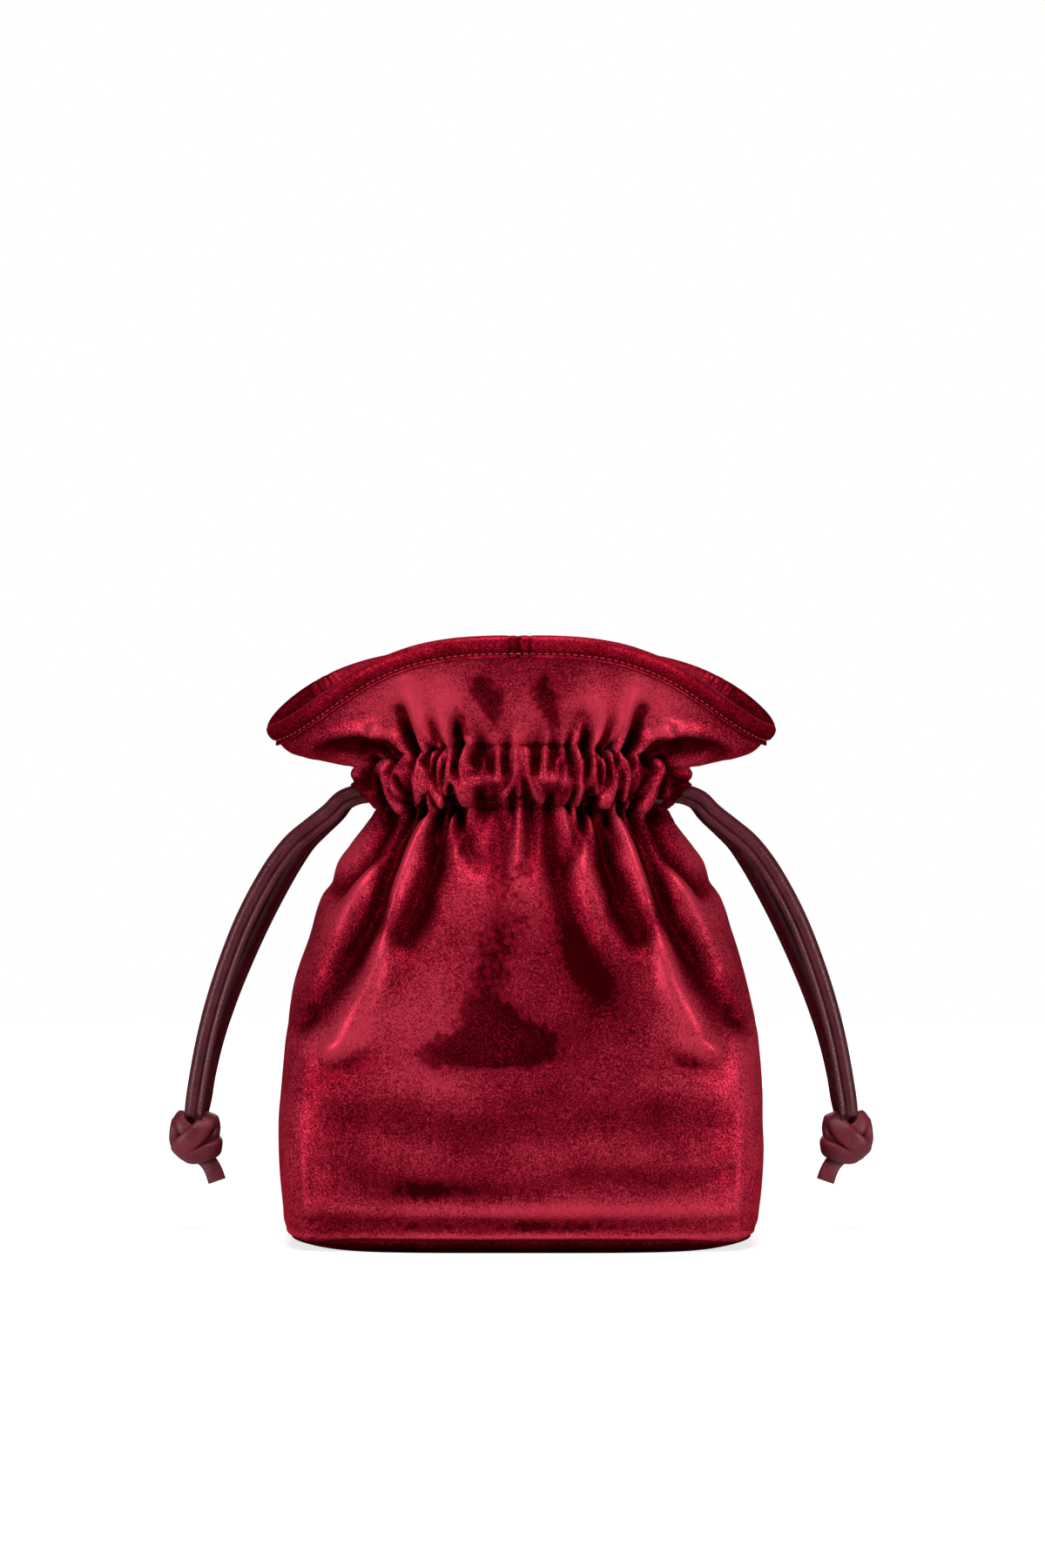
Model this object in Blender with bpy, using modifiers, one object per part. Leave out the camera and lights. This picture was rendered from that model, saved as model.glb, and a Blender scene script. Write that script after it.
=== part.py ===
"""A velvet drawstring pouch with a flat base, a gathered casing, a ruffled and bound mouth and two
leather cords, each knotted at its own side. Metres, +Z up, the origin on the floor under the middle."""

import math

import bmesh
import bpy
import numpy as np

# Cloth
CLOTH_THICKNESS = 0.0012
SEAM_GAP = 0.0003
GATHERS = 18
STEPS_PER_GATHER = 3
GATHER_SPREAD = 0.22
GATHER_HEIGHT = 0.0026

# Base
BASE_SEAM_Z = 0.0072
BASE_HALF_WIDTH = 0.0988
BASE_HALF_DEPTH = 0.0480
BASE_SQUARENESS = 7.0
BASE_THICKNESS = 0.0020
BASE_FOLD = 0.0110
BASE_HEM = 0.0009
BASE_STEPS = 24

# Body, from the base seam to the lower stitch line of the casing
BELLY_HALF_WIDTH = 0.1016
BELLY_HALF_DEPTH = 0.0560
NECK_HALF_WIDTH = 0.0635
NECK_HALF_DEPTH = 0.0330
NECK_Z = 0.1835

# Drawstring cords
CORD_DIAMETER = 0.0065
CORD_SPACING = 0.0007
CORD_EASE = 0.0017
CORD_PITCH = CORD_DIAMETER + CORD_SPACING

# Casing, between its two stitch lines, and the facing strip that makes it a tunnel
CASING_ROOM = 0.0051
CASING_MIDDLE_RISE = 0.0047
CASING_SIDE_HEIGHT = 2 * CORD_PITCH + CASING_ROOM
CASING_HEIGHT = CASING_SIDE_HEIGHT + CASING_MIDDLE_RISE
CASING_SIDE_DROP = 0.0040
CASING_FULLNESS = 0.0010
CASING_BULGE = CORD_DIAMETER + CASING_FULLNESS
CASING_TOP_HALF_WIDTH = 0.0680
CASING_TOP_HALF_DEPTH = 0.0335
STRIP_THICKNESS = 0.0008
STRIP_EASE = 0.0016
STRIP_EDGE_EASE = 0.0018
STRIP_STEPS = 22
PORT_EASE = 0.0008
PORT_SIDE_EASE = 0.0028
PORT_HEIGHT = 2 * (CORD_DIAMETER + PORT_EASE)
PORT_HALF_WIDTH = CORD_DIAMETER + PORT_SIDE_EASE
PORT_ROUNDING = 0.0020

# Ruffle above the casing, and the band that binds its mouth
RUFFLE_HEIGHT = 0.0438
RUFFLE_SIDE_HEIGHT = 0.0170
MOUTH_HALF_WIDTH = 0.1073
MOUTH_HALF_DEPTH = 0.0545
MOUTH_SQUARENESS = 2.2
MOUTH_POINTEDNESS = 0.85
BAND_WIDTH = 0.0100
BAND_THICKNESS = 0.0009
BAND_EASE = 0.0005

# Knots
KNOT_CORD_DIAMETER = 0.0052
KNOT_CENTRE = (-0.1410, 0.0, 0.0416)
KNOT_SLACK = 0.0002
KNOT_EYE = 0.61
KNOT_COIL = KNOT_CORD_DIAMETER / 2 + KNOT_SLACK
KNOT_RADIUS = KNOT_COIL + KNOT_EYE * KNOT_CORD_DIAMETER
KNOT_STEP = 0.0030
KNOT_LEAD = 0.0020
KNOT_GAP = 0.0007

# Sections of the body between the base seam and the neck: share of the height, shares of the belly's
# half width and half depth beyond the neck's, how square the section is, share of the gathers' height
BODY_SECTIONS = (
    (0.231, 1.000, 0.91, 5.5, 0.00),
    (0.413, 0.958, 1.00, 4.6, 0.00),
    (0.572, 0.853, 0.96, 3.9, 0.05),
    (0.708, 0.656, 0.76, 3.2, 0.16),
    (0.821, 0.433, 0.54, 2.8, 0.36),
    (0.906, 0.218, 0.30, 2.4, 0.60),
    (0.963, 0.052, 0.11, 2.2, 0.85),
)
STITCH_GATHERS = 0.70
# Sections of the casing: share of its height, share of its bulge
CASING_SECTIONS = ((0.20, 0.78), (0.50, 1.00), (0.80, 0.88))
# Sections of the ruffle: shares of its height in the middle and at the sides, of its flare sideways and
# forwards, of its pointedness, and share of the gathers' height
RUFFLE_SECTIONS = (
    (0.17, 0.13, 0.23, 0.17, 0.30, 0.70),
    (0.44, 0.26, 0.57, 0.45, 0.65, 0.40),
)
# How far down each gather keeps its height, from the left seam to the right; the back runs the other way
GATHER_REACH = (1.5, 0.7, 1.4, 0.8, 1.6, 0.6, 1.2, 0.7, 1.0, 1.5, 0.6, 0.7, 1.3, 0.6, 1.6, 0.8, 0.7, 1.5)
# Long folds that run down from the casing: where across the panel they start and end (-1 and 1 are the
# seams), how far down they reach as a share of the body, their depth and their half width
FRONT_FOLDS = (
    (-0.80, -0.84, 0.45, -0.0030, 0.060),
    (-0.60, -0.66, 0.60, -0.0045, 0.070),
    (-0.43, -0.53, 0.66, 0.0020, 0.070),
    (-0.34, -0.37, 0.42, -0.0036, 0.060),
    (0.08, 0.28, 0.62, -0.0026, 0.080),
    (0.34, 0.37, 0.42, -0.0036, 0.060),
    (0.43, 0.53, 0.66, 0.0020, 0.070),
    (0.60, 0.66, 0.60, -0.0045, 0.070),
    (0.80, 0.84, 0.45, -0.0030, 0.060),
)
BACK_FOLDS = (
    (-0.78, -0.84, 0.50, -0.0032, 0.060),
    (-0.52, -0.60, 0.66, -0.0042, 0.075),
    (-0.20, -0.30, 0.46, -0.0034, 0.065),
    (0.05, 0.02, 0.60, 0.0020, 0.080),
    (0.26, 0.34, 0.56, -0.0036, 0.070),
    (0.57, 0.66, 0.62, -0.0044, 0.070),
    (0.82, 0.86, 0.42, -0.0030, 0.060),
)

# The free run of a left-hand cord's front strand, from the side seam down to the knot: x, the drop from the
# casing, how far the strand stands from the middle plane, and how much nearer to the pouch the back strand
# hangs
FREE_RUN = (
    (-0.0640, 0.0000, 0.0047, 0.0000),
    (-0.0700, 0.0001, 0.0041, 0.0000),
    (-0.0760, 0.0013, 0.0040, 0.0008),
    (-0.0815, 0.0057, 0.0038, 0.0020),
    (-0.0895, 0.0124, 0.0037, 0.0034),
    (-0.0969, 0.0198, 0.0037, 0.0048),
    (-0.1035, 0.0284, 0.0037, 0.0060),
    (-0.1112, 0.0410, 0.0037, 0.0066),
    (-0.1183, 0.0552, 0.0037, 0.0064),
    (-0.1243, 0.0704, 0.0037, 0.0054),
    (-0.1300, 0.0878, 0.0037, 0.0040),
    (-0.1343, 0.1044, 0.0037, 0.0028),
    (-0.1374, 0.1208, 0.0036, 0.0020),
    (-0.1391, 0.1322, 0.0035, 0.0018),
)
FREE_RUN_MERGE = 0.0100
# Guide points of the cord inside the casing, as shares of the half outline from its own side
RING_SHARES = (0.14, 0.20, 0.28, 0.37, 0.46, 0.55, 0.64, 0.73, 0.81, 0.88, 0.94, 1.0)
CORD_STEP = 0.0085

# Ends of a knot's cord beside its coil, left-hand knot, from the middle of the knot
KNOT_TAIL = (
    (0.0103, 0.0015, -0.0186),
    (0.0100, 0.0020, -0.0120),
    (0.0097, 0.0026, -0.0055),
    (0.0086, 0.0029, 0.0005),
)
KNOT_ENTRY = (
    (0.0093, -0.0029, -0.0002),
    (0.0096, -0.0029, 0.0044),
    (0.0076, -0.0024, 0.0088),
)
COIL_DEGREES = (24, 336)

# Finishes: colour, roughness, sheen
VELVET = ((0.33, 0.008, 0.025), 0.75, 0.6)
BASE_VELVET = ((0.29, 0.007, 0.022), 0.78, 0.5)
BAND = ((0.36, 0.010, 0.028), 0.70, 0.5)
FACING = ((0.20, 0.010, 0.022), 0.85, 0.0)
LEATHER = ((0.115, 0.012, 0.022), 0.42, 0.0)
KNOT_LEATHER = ((0.125, 0.014, 0.024), 0.45, 0.0)


def clear_scene():
    for thing in list(bpy.data.objects):
        bpy.data.objects.remove(thing)


def make_collection(name, hidden=False):
    collection = bpy.data.collections.new(name)
    bpy.context.scene.collection.children.link(collection)
    collection.hide_render = hidden
    return collection


def add_object(name, data, collection, finish):
    colour, roughness, sheen = finish
    material = bpy.data.materials.new(name + "_finish")
    material.use_nodes = True
    shader = material.node_tree.nodes["Principled BSDF"]
    shader.inputs["Base Color"].default_value = (*colour, 1.0)
    shader.inputs["Roughness"].default_value = roughness
    shader.inputs["Metallic"].default_value = 0.0
    shader.inputs["Sheen Weight"].default_value = sheen
    data.materials.append(material)
    thing = bpy.data.objects.new(name, data)
    collection.objects.link(thing)
    return thing


def between(low, high, share):
    return low + (high - low) * share


def section(half_width, half_depth, squareness, z_middle, z_side, pointedness=0.0, gathers=0.0):
    """One level of the pouch: a closed plan outline, and its height in the middle and at the sides."""
    return {
        "half_width": half_width,
        "half_depth": half_depth,
        "squareness": squareness,
        "z_middle": z_middle,
        "z_side": z_side,
        "pointedness": pointedness,
        "gathers": gathers,
    }


def base_section():
    return section(BASE_HALF_WIDTH, BASE_HALF_DEPTH, BASE_SQUARENESS, BASE_SEAM_Z, BASE_SEAM_Z)


def body_section(height, wide, deep, squareness, gathers):
    z = between(BASE_SEAM_Z, NECK_Z, height)
    return section(
        between(NECK_HALF_WIDTH, BELLY_HALF_WIDTH, wide),
        between(NECK_HALF_DEPTH, BELLY_HALF_DEPTH, deep),
        squareness,
        z,
        z - CASING_SIDE_DROP * height**8,
        gathers=gathers,
    )


def casing_section(height, bulge, gathers=1.0):
    """A level of the casing: height 0 is its lower stitch line and 1 its upper one."""
    return section(
        between(NECK_HALF_WIDTH, CASING_TOP_HALF_WIDTH, height) + CASING_BULGE * bulge,
        between(NECK_HALF_DEPTH, CASING_TOP_HALF_DEPTH, height) + CASING_BULGE * bulge,
        2.0,
        NECK_Z + CASING_HEIGHT * height,
        NECK_Z - CASING_SIDE_DROP + CASING_SIDE_HEIGHT * height,
        gathers=gathers,
    )


def casing_bulge(height):
    heights = [0.0] + [row[0] for row in CASING_SECTIONS] + [1.0]
    bulges = [0.0] + [row[1] for row in CASING_SECTIONS] + [0.0]
    return float(np.interp(height, heights, bulges))


def ruffle_section(high, side_high, wide, deep, pointed, gathers=0.0):
    """A level of the ruffle: all shares are 0 at the casing's upper stitch line and 1 at the rim."""
    foot = casing_section(1.0, 0.0)
    return section(
        between(foot["half_width"], MOUTH_HALF_WIDTH, wide),
        between(foot["half_depth"], MOUTH_HALF_DEPTH, deep),
        between(foot["squareness"], MOUTH_SQUARENESS, high),
        foot["z_middle"] + RUFFLE_HEIGHT * high,
        foot["z_side"] + RUFFLE_SIDE_HEIGHT * side_high,
        pointedness=MOUTH_POINTEDNESS * pointed,
        gathers=gathers,
    )


def band_edge_section():
    """The level where the lower edge of the mouth's band lies on the ruffle."""
    middle_run = math.hypot(RUFFLE_HEIGHT, MOUTH_HALF_DEPTH - CASING_TOP_HALF_DEPTH)
    side_run = math.hypot(RUFFLE_SIDE_HEIGHT, MOUTH_HALF_WIDTH - CASING_TOP_HALF_WIDTH)
    middle_share = 1.0 - BAND_WIDTH / middle_run
    side_share = 1.0 - 0.75 * BAND_WIDTH / side_run
    return ruffle_section(middle_share, 0.5, side_share, middle_share - 0.02, 0.95)


def cloth_sections():
    rows = [base_section()]
    rows += [body_section(*numbers) for numbers in BODY_SECTIONS]
    rows.append(casing_section(0.0, 0.0, STITCH_GATHERS))
    rows += [casing_section(height, bulge) for height, bulge in CASING_SECTIONS]
    rows.append(casing_section(1.0, 0.0, STITCH_GATHERS))
    rows += [ruffle_section(*numbers) for numbers in RUFFLE_SECTIONS]
    rows.append(band_edge_section())
    rows.append(ruffle_section(1.0, 1.0, 1.0, 1.0, 1.0))
    return rows


def half_outline(row, shares):
    """Plan points of the front half of a section, from its left tip to its right one, at these shares of
    its length, and the outward normals there."""
    turn = np.linspace(0.0, math.pi, 3001)
    wave = np.sin(turn) ** 2
    power = 1 / row["squareness"]
    x = -row["half_width"] * np.sign(np.cos(turn)) * np.abs(np.cos(turn)) ** (2 * power)
    y = -row["half_depth"] * (wave * (1 - row["pointedness"] + row["pointedness"] * wave)) ** power
    length = np.concatenate([[0.0], np.cumsum(np.hypot(np.diff(x), np.diff(y)))])
    even = np.linspace(0.0, 1.0, 1201)
    x = np.interp(even, length / length[-1], x)
    y = np.interp(even, length / length[-1], y)
    step_x = np.gradient(np.concatenate([[x[1]], x, [x[-2]]]))[1:-1]
    step_y = np.gradient(np.concatenate([[-y[1]], y, [-y[-2]]]))[1:-1]
    points = np.stack([np.interp(shares, even, x), np.interp(shares, even, y)], axis=-1)
    normals = np.stack([np.interp(shares, even, step_y), np.interp(shares, even, -step_x)], axis=-1)
    return points, normals / np.linalg.norm(normals, axis=1)[:, None]


def droop(shares, front):
    """How far the cloth has come towards its side height: 0 in the middle and 1 at the seams."""
    across = np.abs(2 * shares - 1)
    if front:
        return (1 - np.cos(math.pi * across**1.5)) / 2
    return across**3


def half_level(row, shares, front, inset):
    plan, normals = half_outline(row, shares)
    plan = plan - inset * normals
    z = between(row["z_middle"], row["z_side"], droop(shares, front))
    points = np.column_stack([plan, z])
    outward = np.column_stack([normals, np.zeros_like(z)])
    if not front:
        points[:, 1] *= -1
        outward[:, 1] *= -1
    return points, outward


def around(front, back):
    """A closed ring, seen from above anticlockwise, from values that both run from the left to the right."""
    return np.concatenate([front[:-1], back[::-1][:-1]])


def ring_at(row, shares, inset=0.0):
    """A closed ring of points on a section, and the level outward normals there."""
    front, front_normals = half_level(row, shares, True, inset)
    back, back_normals = half_level(row, shares, False, inset)
    return around(front, back), around(front_normals, back_normals)


def cloth_steps():
    """Even steps across a panel, with one more beside each seam, where the mouth turns sharply."""
    even = np.linspace(0.0, 1.0, GATHERS * STEPS_PER_GATHER + 1)
    extra = even[1] / 2
    return np.sort(np.append(even, [extra, 1.0 - extra]))


def spread_gathers(steps):
    """Shares of the cloth's width for even steps of gathering: wide in the middle, close at the seams."""
    return steps - GATHER_SPREAD * np.sin(2 * math.pi * steps) / (2 * math.pi)


def gather_wave(steps, gathers, front):
    """Gathers across one panel at a section, as a share of GATHER_HEIGHT, with a valley at each seam."""
    reach = np.array(GATHER_REACH if front else GATHER_REACH[::-1])
    heights = gathers ** (1 / reach) if gathers else np.zeros_like(reach)
    middles = (np.arange(len(reach)) + 0.5) / len(reach)
    return -np.cos(2 * math.pi * GATHERS * steps) * np.interp(steps, middles, heights)


def fold_depth(shares, z, front):
    """How far the long folds push the cloth outwards at height z."""
    down = (NECK_Z - z) / (NECK_Z - BASE_SEAM_Z)
    moved = np.zeros_like(shares)
    if down < 0:
        return moved
    for start, end, reach, depth, half_width in FRONT_FOLDS if front else BACK_FOLDS:
        run = min(down / reach, 1.0)
        place = between(start, end, run)
        strength = (1 - run) ** 1.2 * min(1.0, 0.35 + 2.5 * run)
        moved += depth * strength * np.exp(-(((2 * shares - 1 - place) / (half_width * (1 + run))) ** 2))
    return moved


def surface_normals(points, below, above):
    along = np.roll(points, -1, axis=0) - np.roll(points, 1, axis=0)
    normals = np.cross(along, above - below)
    return normals / np.linalg.norm(normals, axis=1)[:, None]


def cloth_grid():
    """Rings of points on the cloth's outer face, from the base seam to the rim, gathers and folds included."""
    steps = cloth_steps()
    shares = spread_gathers(steps)
    rows = cloth_sections()
    rings = [ring_at(row, shares) for row in rows]
    grid = []
    for index, (row, (points, normals)) in enumerate(zip(rows, rings)):
        if row["z_middle"] > NECK_Z + 0.999 * CASING_HEIGHT:
            above = rings[min(index + 1, len(rows) - 1)][0]
            normals = surface_normals(points, rings[index - 1][0], above)
        front = GATHER_HEIGHT * gather_wave(steps, row["gathers"], True)
        back = GATHER_HEIGHT * gather_wave(steps, row["gathers"], False)
        front += fold_depth(shares, row["z_middle"], True)
        back += fold_depth(shares, row["z_middle"], False)
        grid.append(points + normals * around(front, back)[:, None])
    return grid


def loft(name, rings, cap_first=False):
    """A tube through closed rings of points that faces away from its inside."""
    shape = bmesh.new()
    rows = [[shape.verts.new(point) for point in ring] for ring in rings]
    for low, high in zip(rows, rows[1:]):
        for here in range(len(low)):
            there = (here + 1) % len(low)
            shape.faces.new((low[here], low[there], high[there], high[here]))
    if cap_first:
        shape.faces.new(rows[0][::-1])
    mesh = bpy.data.meshes.new(name)
    shape.to_mesh(mesh)
    shape.free()
    mesh.shade_smooth()
    mesh.set_sharp_from_angle(angle=math.radians(60))
    return mesh


def give_thickness(thing, thickness, even=True):
    """Adds the wall on the inner side, so that the modelled face stays the outer one. An even wall keeps its
    thickness at a crease, and an uneven one doesn't spike out where creases crowd together."""
    wall = thing.modifiers.new("wall", "SOLIDIFY")
    wall.thickness = thickness
    wall.offset = -1.0
    wall.use_even_offset = even
    wall.use_quality_normals = True


def cut(thing, cutter):
    boolean = thing.modifiers.new(cutter.name, "BOOLEAN")
    boolean.operation = "DIFFERENCE"
    boolean.solver = "MANIFOLD"
    boolean.object = cutter


def make_box_cutter(name, low, high, collection):
    shape = bmesh.new()
    bmesh.ops.create_cube(shape, size=1.0)
    low, high = np.array(low), np.array(high)
    for vert in shape.verts:
        vert.co = [between(a, b, share + 0.5) for a, b, share in zip(low, high, vert.co)]
    mesh = bpy.data.meshes.new(name)
    shape.to_mesh(mesh)
    shape.free()
    cutter = bpy.data.objects.new(name, mesh)
    cutter.hide_render = True
    cutter.display_type = "WIRE"
    collection.objects.link(cutter)
    return cutter


def make_seam_cutter(name, side, collection):
    """Everything on one side of the side seams: side is -1 for the front and 1 for the back."""
    reach = 2 * max(BELLY_HALF_WIDTH, MOUTH_HALF_WIDTH)
    near = side * -SEAM_GAP / 2
    far = side * reach
    low = (-reach, min(near, far), -reach)
    high = (reach, max(near, far), 2 * reach)
    return make_box_cutter(name, low, high, collection)


def make_port_cutter(name, side, collection):
    """The open stretch of a side seam in the casing, where a cord's two strands come out."""
    middle = casing_section(0.5, 1.0)
    wall = GATHER_HEIGHT + CLOTH_THICKNESS
    x = sorted((side * (NECK_HALF_WIDTH - wall), side * (middle["half_width"] + 2 * wall)))
    low = (x[0], -PORT_HALF_WIDTH, middle["z_side"] - PORT_HEIGHT / 2)
    high = (x[1], PORT_HALF_WIDTH, middle["z_side"] + PORT_HEIGHT / 2)
    cutter = make_box_cutter(name, low, high, collection)
    rounding = cutter.modifiers.new("rounding", "BEVEL")
    rounding.width = PORT_ROUNDING
    rounding.segments = 3
    return cutter


def make_body_panels(parts, cutters, behind_seams, before_seams):
    """The front and the back velvet panel, sewn together at the sides and open there at the cords' ports."""
    rings = cloth_grid()
    ports = [make_port_cutter("port_left", -1, cutters), make_port_cutter("port_right", 1, cutters)]
    for name, seams in (("body_front", behind_seams), ("body_back", before_seams)):
        panel = add_object(name, loft(name, rings), parts, VELVET)
        give_thickness(panel, CLOTH_THICKNESS, even=False)
        for cutter in [seams, *ports]:
            cut(panel, cutter)


def cord_height(level):
    """The share of the casing's height at which a cord lies: level is -1 for the lower one, 1 for the upper."""
    return 0.5 + level * CORD_PITCH / 2 / CASING_SIDE_HEIGHT


def cord_ring_inset():
    """How far inside the casing's outline, without its bulge, the middle of the cords runs."""
    inside_cloth = GATHER_HEIGHT + CLOTH_THICKNESS + CORD_EASE + CORD_DIAMETER / 2
    return inside_cloth - CASING_BULGE * min(casing_bulge(cord_height(-1)), casing_bulge(cord_height(1)))


def make_casing_strips(parts, behind_seams, before_seams):
    """The facing strips on the inside of the casing, which hold the cords against the velvet."""
    edge_inset = GATHER_HEIGHT * STITCH_GATHERS + CLOTH_THICKNESS + STRIP_EDGE_EASE
    middle_inset = cord_ring_inset() + CORD_DIAMETER / 2 + STRIP_EASE
    shares = np.linspace(0.0, 1.0, STRIP_STEPS + 1)
    margin = SEAM_GAP / CASING_HEIGHT
    rows = ((margin, edge_inset), (0.2, middle_inset), (0.8, middle_inset), (1 - margin, edge_inset))
    rings = [ring_at(casing_section(height, 0.0), shares, inset)[0] for height, inset in rows]
    for name, seams in (("casing_strip_front", behind_seams), ("casing_strip_back", before_seams)):
        strip = add_object(name, loft(name, rings), parts, FACING)
        give_thickness(strip, STRIP_THICKNESS)
        cut(strip, seams)


def make_base(parts):
    """The stiffened base panel: a shallow tray whose rim meets the body at the base seam."""
    shares = np.linspace(0.0, 1.0, BASE_STEPS + 1)
    top = BASE_SEAM_Z - SEAM_GAP
    curve_top = top - BASE_HEM
    rings = []
    for degrees in (90, 66, 42, 20, 0):
        turn = math.radians(degrees)
        ring = ring_at(base_section(), shares, BASE_FOLD * (1 - math.cos(turn)))[0]
        ring[:, 2] = curve_top * (1 - math.sin(turn))
        rings.append(ring)
    rim = ring_at(base_section(), shares)[0]
    rim[:, 2] = top
    rings.append(rim)
    base = add_object("base_panel", loft("base_panel", rings, cap_first=True), parts, BASE_VELVET)
    give_thickness(base, BASE_THICKNESS)


def make_mouth_binding(parts):
    """The folded velvet band that covers the raw edge of the mouth on both of its sides."""
    edge, rim = cloth_grid()[-2:]
    normals = surface_normals(rim, edge, rim)
    lean = (rim - edge) / np.linalg.norm(rim - edge, axis=1)[:, None]
    clear = BAND_EASE + BAND_THICKNESS
    outside = clear * normals
    inside = -(CLOTH_THICKNESS + clear) * normals
    rings = [edge + outside, rim + outside + clear * lean, rim + inside + clear * lean, edge + inside]
    binding = add_object("mouth_binding", loft("mouth_binding", rings), parts, BAND)
    give_thickness(binding, BAND_THICKNESS)


def smooth_route(points, step):
    """Points about this far apart on a smooth curve through the given ones."""
    points = np.array(points)
    ends = [2 * points[0] - points[1], 2 * points[-1] - points[-2]]
    guide = np.vstack([ends[0], points, ends[1]])
    curve = []
    for a, b, c, d in zip(guide, guide[1:], guide[2:], guide[3:]):
        for t in np.linspace(0.0, 1.0, 24, endpoint=False):
            pull = (c - a) * t + (2 * a - 5 * b + 4 * c - d) * t**2 + (3 * b - a - 3 * c + d) * t**3
            curve.append(b + pull / 2)
    curve.append(points[-1])
    curve = np.array(curve)
    length = np.concatenate([[0.0], np.cumsum(np.linalg.norm(np.diff(curve, axis=0), axis=1))])
    places = np.linspace(0.0, length[-1], round(length[-1] / step) + 1)
    return np.column_stack([np.interp(places, length, curve[:, axis]) for axis in range(3)])


def make_tube(name, points, diameter, parts, finish):
    tube = bpy.data.curves.new(name, "CURVE")
    tube.dimensions = "3D"
    spline = tube.splines.new("POLY")
    spline.points.add(len(points) - 1)
    for point, place in zip(spline.points, points):
        point.co = (*place, 1.0)
    tube.bevel_depth = diameter / 2
    tube.bevel_resolution = 2
    tube.use_fill_caps = True
    return add_object(name, tube, parts, finish)


def exit_height(ring_level, drop):
    """The height of a point of the free run: both cords' runs soon hang at the same height."""
    middle = casing_section(0.5, 0.0)["z_side"]
    return between(ring_level["z_side"], middle, min(1.0, drop / FREE_RUN_MERGE)) - drop


def cord_route(level):
    """The left-hand cord: up its front strand, round inside the casing and down its back strand."""
    ring_level = casing_section(cord_height(level), 0.0)
    shares = np.array(RING_SHARES)
    front, _ = half_level(ring_level, shares, True, cord_ring_inset())
    back, _ = half_level(ring_level, shares, False, cord_ring_inset())
    front_strand = [(x, -y, exit_height(ring_level, drop)) for x, drop, y, _ in FREE_RUN]
    back_strand = [(x + near, y, exit_height(ring_level, drop)) for x, drop, y, near in FREE_RUN]
    return np.vstack([front_strand[::-1], front, back[::-1][1:], back_strand])


def knot_route(entry, down):
    """The cord of the left-hand knot, from its tail to its entry: an overhand knot round a small ring."""
    degrees = np.arange(COIL_DEGREES[0], COIL_DEGREES[1] + 1, 12)
    turn = np.radians(degrees)
    reach = KNOT_RADIUS + KNOT_COIL * np.cos(3 * turn)
    coil = [reach * np.cos(2 * turn), KNOT_COIL * np.sin(3 * turn), reach * np.sin(2 * turn)]
    local = np.vstack([KNOT_TAIL, np.column_stack(coil), KNOT_ENTRY])
    return np.vstack([local + np.array(KNOT_CENTRE), entry + KNOT_LEAD * down, entry])


def make_cords(parts):
    """Both drawstrings and the knot that joins the two ends of each."""
    for hand, mirror, level in (("left", 1, -1), ("right", -1, 1)):
        side = np.array([mirror, 1, 1])
        route = cord_route(level)
        make_tube("cord_" + hand, smooth_route(route * side, CORD_STEP), CORD_DIAMETER, parts, LEATHER)
        ends = (route[0] + route[-1]) / 2
        down = (route[0] - route[1]) / np.linalg.norm(route[0] - route[1])
        entry = ends + KNOT_GAP * down
        knot = smooth_route(knot_route(entry, down) * side, KNOT_STEP)
        make_tube("knot_" + hand, knot, KNOT_CORD_DIAMETER, parts, KNOT_LEATHER)


def main():
    clear_scene()
    parts = make_collection("drawstring_pouch")
    cutters = make_collection("cutters", hidden=True)
    behind_seams = make_seam_cutter("behind_seams", 1, cutters)
    before_seams = make_seam_cutter("before_seams", -1, cutters)
    make_base(parts)
    make_body_panels(parts, cutters, behind_seams, before_seams)
    make_casing_strips(parts, behind_seams, before_seams)
    make_mouth_binding(parts)
    make_cords(parts)


main()
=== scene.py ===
# %% [markdown]
# A velvet drawstring pouch
#
# The pouch is two velvet panels sewn to a flat base. Two lines of stitching near the top make a tunnel, the
# casing, and two leather cords run in it. Pulled tight, they gather the velvet, so the cloth above them
# flares out as a ruffle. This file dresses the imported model, which fixes the main sizes, with fine cloth,
# thread and leather. All lengths are in metres, with +Z up and the front of the pouch towards -Y.

import math

import bmesh
import bpy
import numpy as np
from mathutils import Matrix, Vector, kdtree, noise


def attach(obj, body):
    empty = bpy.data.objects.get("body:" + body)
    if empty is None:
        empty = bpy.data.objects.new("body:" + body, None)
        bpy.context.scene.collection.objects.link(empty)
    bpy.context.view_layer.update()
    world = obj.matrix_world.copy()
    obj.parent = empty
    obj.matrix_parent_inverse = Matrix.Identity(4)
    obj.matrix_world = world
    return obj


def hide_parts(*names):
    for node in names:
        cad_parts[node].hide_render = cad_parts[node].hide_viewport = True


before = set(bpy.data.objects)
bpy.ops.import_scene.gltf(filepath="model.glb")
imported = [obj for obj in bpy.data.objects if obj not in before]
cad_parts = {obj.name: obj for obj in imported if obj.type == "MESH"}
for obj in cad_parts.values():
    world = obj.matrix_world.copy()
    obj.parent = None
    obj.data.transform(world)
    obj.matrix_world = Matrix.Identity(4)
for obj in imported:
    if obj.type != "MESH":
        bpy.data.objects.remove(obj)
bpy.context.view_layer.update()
BODY = "root"
MM = 0.001
print("nodes:", ", ".join(sorted(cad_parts)))

# %% [markdown]
# The camera
#
# A product photograph like this one is taken from far away with a long lens, so that the front and the back
# of the mouth stay nearly the same size. The camera is level, at the height of the casing, so the rim is
# seen from just below and the base from above. The focal length is worked out from the picture's height.

# %% The camera
PHOTO_WIDTH, PHOTO_HEIGHT = 1200, 1800
FOCAL_PIXELS = 3513.5
SENSOR = 36.0
CAMERA_PLACE = (0.00055, -1.3, 0.1922)

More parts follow.
